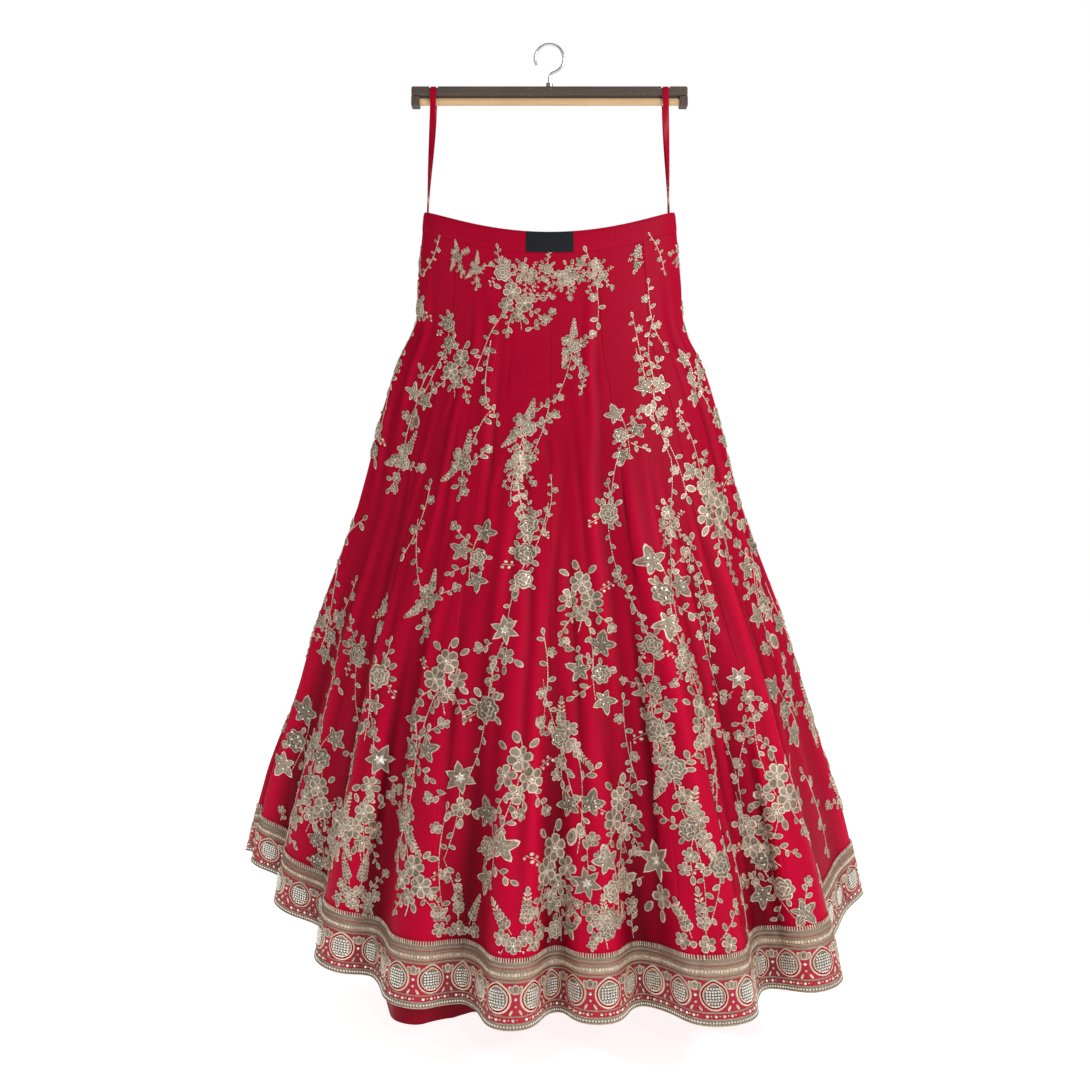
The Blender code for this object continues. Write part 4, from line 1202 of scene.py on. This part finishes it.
def onionOutline(count):
    tip = lambda a: max(0.0, math.sin(a)) ** 8
    return [(0.5 * math.cos(a) * (1 - 0.25 * tip(a)), 0.5 * math.sin(a) + 0.07 * tip(a))
            for a in anglesFromTop(count)]


shapes["medallion"] = stampShape("medallion", onionOutline(26), medallionSteps, 0.0007, fill)
shapes["tooth"] = stampShape("tooth", [(0.5, 0.0), (0.5, 1.0), (-0.5, 1.0), (-0.5, 0.0)],
                             [(0.8, 0.0010, thread)], 0.0012, thread)

cameraSet = {"place": (-0.0065, -1.6, -0.725), "lens": 36.4, "sensor": 36.0}

makeEmbroidery()
makeBorderCloths()
makeBorderWork()
makeRidges()
print("border and embroidery made")


# hanger

ribbonSet = {"width": 0.0085, "wall": 0.0012, "steps": 36, "across": 6, "tail": 0.022, "inset": 0.0026,
             "clearance": 0.0008, "shoulder": 0.0016, "tabSpace": 0.0037, "gap": 0.0003,
             "bendIn": 0.0040, "barTop": -0.0610, "barDepth": 0.0140,
             "notchPlace": 0.168, "notchDepth": 0.0030,
             "turnFrom": 0.20, "turnRate": 1.35, "cupping": 0.0005}


def ribbonSections(side):
    # centre, width direction and outward direction along the loop, up its front leg and down its back one
    shape = ribbonSet
    edge, outside = onCloth([0.25 * side], [0.0], 0.0)[0], onCloth([0.25 * side], [0.0], 1.0)[0]
    inward = edge - outside
    sewn = edge + inward * (shape["inset"] + (shape["tabSpace"] if side > 0 else 0.0))
    behind = inward * (shape["wall"] + shape["gap"])
    footZ = sewn[2] - shape["tail"]
    topZ = shape["barTop"] - shape["notchDepth"] + shape["clearance"] + shape["wall"] / 2
    over = shape["barDepth"] / 2 + shape["clearance"] + shape["wall"] / 2
    rising, falling = [], []
    for part in np.linspace(0.0, 1.0, shape["steps"]):
        ease = part * part * (3 - 2 * part)
        x = sewn[0] + (side * shape["notchPlace"] - sewn[0]) * ease
        z = footZ + (topZ - shape["shoulder"] - footZ) * part
        turn = math.radians(90.0) * min(1.0, max(0.0, shape["turnRate"] * part - shape["turnFrom"]))
        width = (-side * math.sin(turn), -math.cos(turn), 0.0)
        face = (-side * math.cos(turn), math.sin(turn), 0.0)
        sewnY = sewn[1] * (1.0 - ease)
        rising.append(((x, sewnY - over * ease, z), width, face))
        backX, backY = x + behind[0] * (1 - ease), sewnY + behind[1] * (1 - ease) + over * ease
        falling.append(((backX, backY, z), width, face))
    across = (-side, 0.0, 0.0)
    for lean in np.radians((25.0, 50.0, 75.0)):
        inset, below = shape["bendIn"] * (1 - math.cos(lean)), shape["shoulder"] * (1 - math.sin(lean))
        face = (0.0, math.cos(lean), -math.sin(lean))
        rising.append(((side * shape["notchPlace"], inset - over, topZ - below), across, face))
        falling.append(((side * shape["notchPlace"], over - inset, topZ - below), across, face))
    falling = [(centre, width, (-f[0], -f[1], f[2])) for centre, width, f in reversed(falling)]
    return rising + falling


def makeRibbon(side, node):
    sections = [[np.array(part, dtype=float) for part in section] for section in ribbonSections(side)]
    piece = finishedPiece(f"satin_{node}", unitWall(ribbonSet["across"], len(sections) - 1), [ribbonSatin])
    unit = meshPoints(piece.data)
    points = []
    for x, y, z in unit:
        centre, width, face = sections[round((1.0 - y) * (len(sections) - 1))]
        cup = ribbonSet["cupping"] * (1.0 - (2 * x - 1) ** 2)
        thick = ribbonSet["wall"] * (0.5 - z)
        points.append(centre + width * ribbonSet["width"] * (x - 0.5) + face * (thick * 0.8 - cup * 0.5))
    setPoints(piece.data, np.array(points))
    bm = bmesh.new()
    bm.from_mesh(piece.data)
    bmesh.ops.recalc_face_normals(bm, faces=bm.faces[:])
    bm.to_mesh(piece.data)
    bm.free()
    layUv(piece.data, unit[:, 0] * ribbonSet["width"], unit[:, 1] * 0.4)
    smoothPiece(piece, 50)
    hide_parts(node)


def finishNode(node, finish):
    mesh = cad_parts[node].data
    mesh.materials.clear()
    mesh.materials.append(finish)


makeRibbon(-1, "ribbon_loop_left")
makeRibbon(1, "ribbon_loop_right")
for node, finish in (("hanger_bar", darkWood), ("rod_holder_left", darkWood), ("rod_holder_right", darkWood),
                     ("hanger_rod", paleWood), ("hanger_hook", steel), ("hook_ferrule", steel),
                     ("waist_hook", steel), ("waist_bar", steel)):
    finishNode(node, finish)
print("hanger finished")


# floor, lights and camera

stageSet = {"floorDrop": 0.06, "floorRadius": 9.0, "floorColour": (0.93, 0.93, 0.925, 1.0), "floorGlow": 0.94}

# name, place, size, power, colour
lampSet = (
    ("keyLamp", (1.7, -1.5, 0.55), 0.8, 33.0, (1.0, 0.98, 0.96)),
    ("sideLamp", (-2.2, -1.8, 0.3), 0.9, 7.5, (1.0, 0.98, 0.96)),
    ("sparkLamp", (0.5, -3.2, 0.4), 0.25, 8.0, (1.0, 1.0, 1.0)),
    ("backLamp", (0.6, 2.8, 1.0), 1.8, 26.0, (1.0, 0.98, 0.96)),
)


def makeStage():
    bm = bmesh.new()
    bmesh.ops.create_circle(bm, cap_ends=True, segments=64, radius=stageSet["floorRadius"])
    bmesh.ops.translate(bm, verts=bm.verts[:], vec=(0.0, 0.0, cadBox[0][2] - stageSet["floorDrop"]))
    bmesh.ops.recalc_face_normals(bm, faces=bm.faces[:])
    mesh = bpy.data.meshes.new("paleFloor")
    bm.to_mesh(mesh)
    bm.free()
    floorFinish = Finish("paleFloor")
    floorFinish.shade({"Base Color": stageSet["floorColour"], "Roughness": 0.9, "Specular IOR Level": 0.0,
                       "Emission Color": stageSet["floorColour"], "Emission Strength": stageSet["floorGlow"]})
    mesh.materials.append(floorFinish.material)
    floor = bpy.data.objects.new("paleFloor", mesh)
    bpy.context.collection.objects.link(floor)


def makeLamps():
    aim = Vector((0.0, 0.0, 0.5 * (cadBox[0][2] + cadBox[1][2])))
    for name, place, size, power, colour in lampSet:
        lamp = bpy.data.lights.new(name, "AREA")
        lamp.shape = "DISK"
        lamp.size, lamp.energy, lamp.color = size, power, colour
        holder = bpy.data.objects.new(name, lamp)
        holder.location = place
        holder.rotation_euler = (aim - Vector(place)).to_track_quat("-Z", "Y").to_euler()
        bpy.context.collection.objects.link(holder)


worldSet = {"lighting": (0.15, (1.0, 0.985, 0.97, 1.0)), "seen": (1.0, (1.0, 1.0, 1.0, 1.0))}


def makeWorld():
    world = bpy.data.worlds.new("studio")
    bpy.context.scene.world = world
    world.use_nodes = True
    tree = world.node_tree
    tree.nodes.clear()
    out = tree.nodes.new("ShaderNodeOutputWorld")
    path, mix = tree.nodes.new("ShaderNodeLightPath"), tree.nodes.new("ShaderNodeMixShader")
    tree.links.new(path.outputs["Is Camera Ray"], mix.inputs[0])
    for socket, kind in ((1, "lighting"), (2, "seen")):
        background = tree.nodes.new("ShaderNodeBackground")
        background.inputs["Strength"].default_value, background.inputs["Color"].default_value = worldSet[kind]
        tree.links.new(background.outputs[0], mix.inputs[socket])
    tree.links.new(mix.outputs[0], out.inputs[0])


def makeCamera():
    camera = bpy.data.cameras.new("viewer")
    camera.lens, camera.sensor_width = cameraSet["lens"], cameraSet["sensor"]
    camera.clip_start, camera.clip_end = 0.05, 50.0
    holder = bpy.data.objects.new("viewer", camera)
    holder.location = cameraSet["place"]
    holder.rotation_euler = (math.radians(90.0), 0.0, 0.0)
    bpy.context.collection.objects.link(holder)
    bpy.context.scene.camera = holder


makeStage()
makeLamps()
makeWorld()
makeCamera()
bpy.context.scene.view_settings.view_transform = "Standard"
print("stage, lamps and camera set")
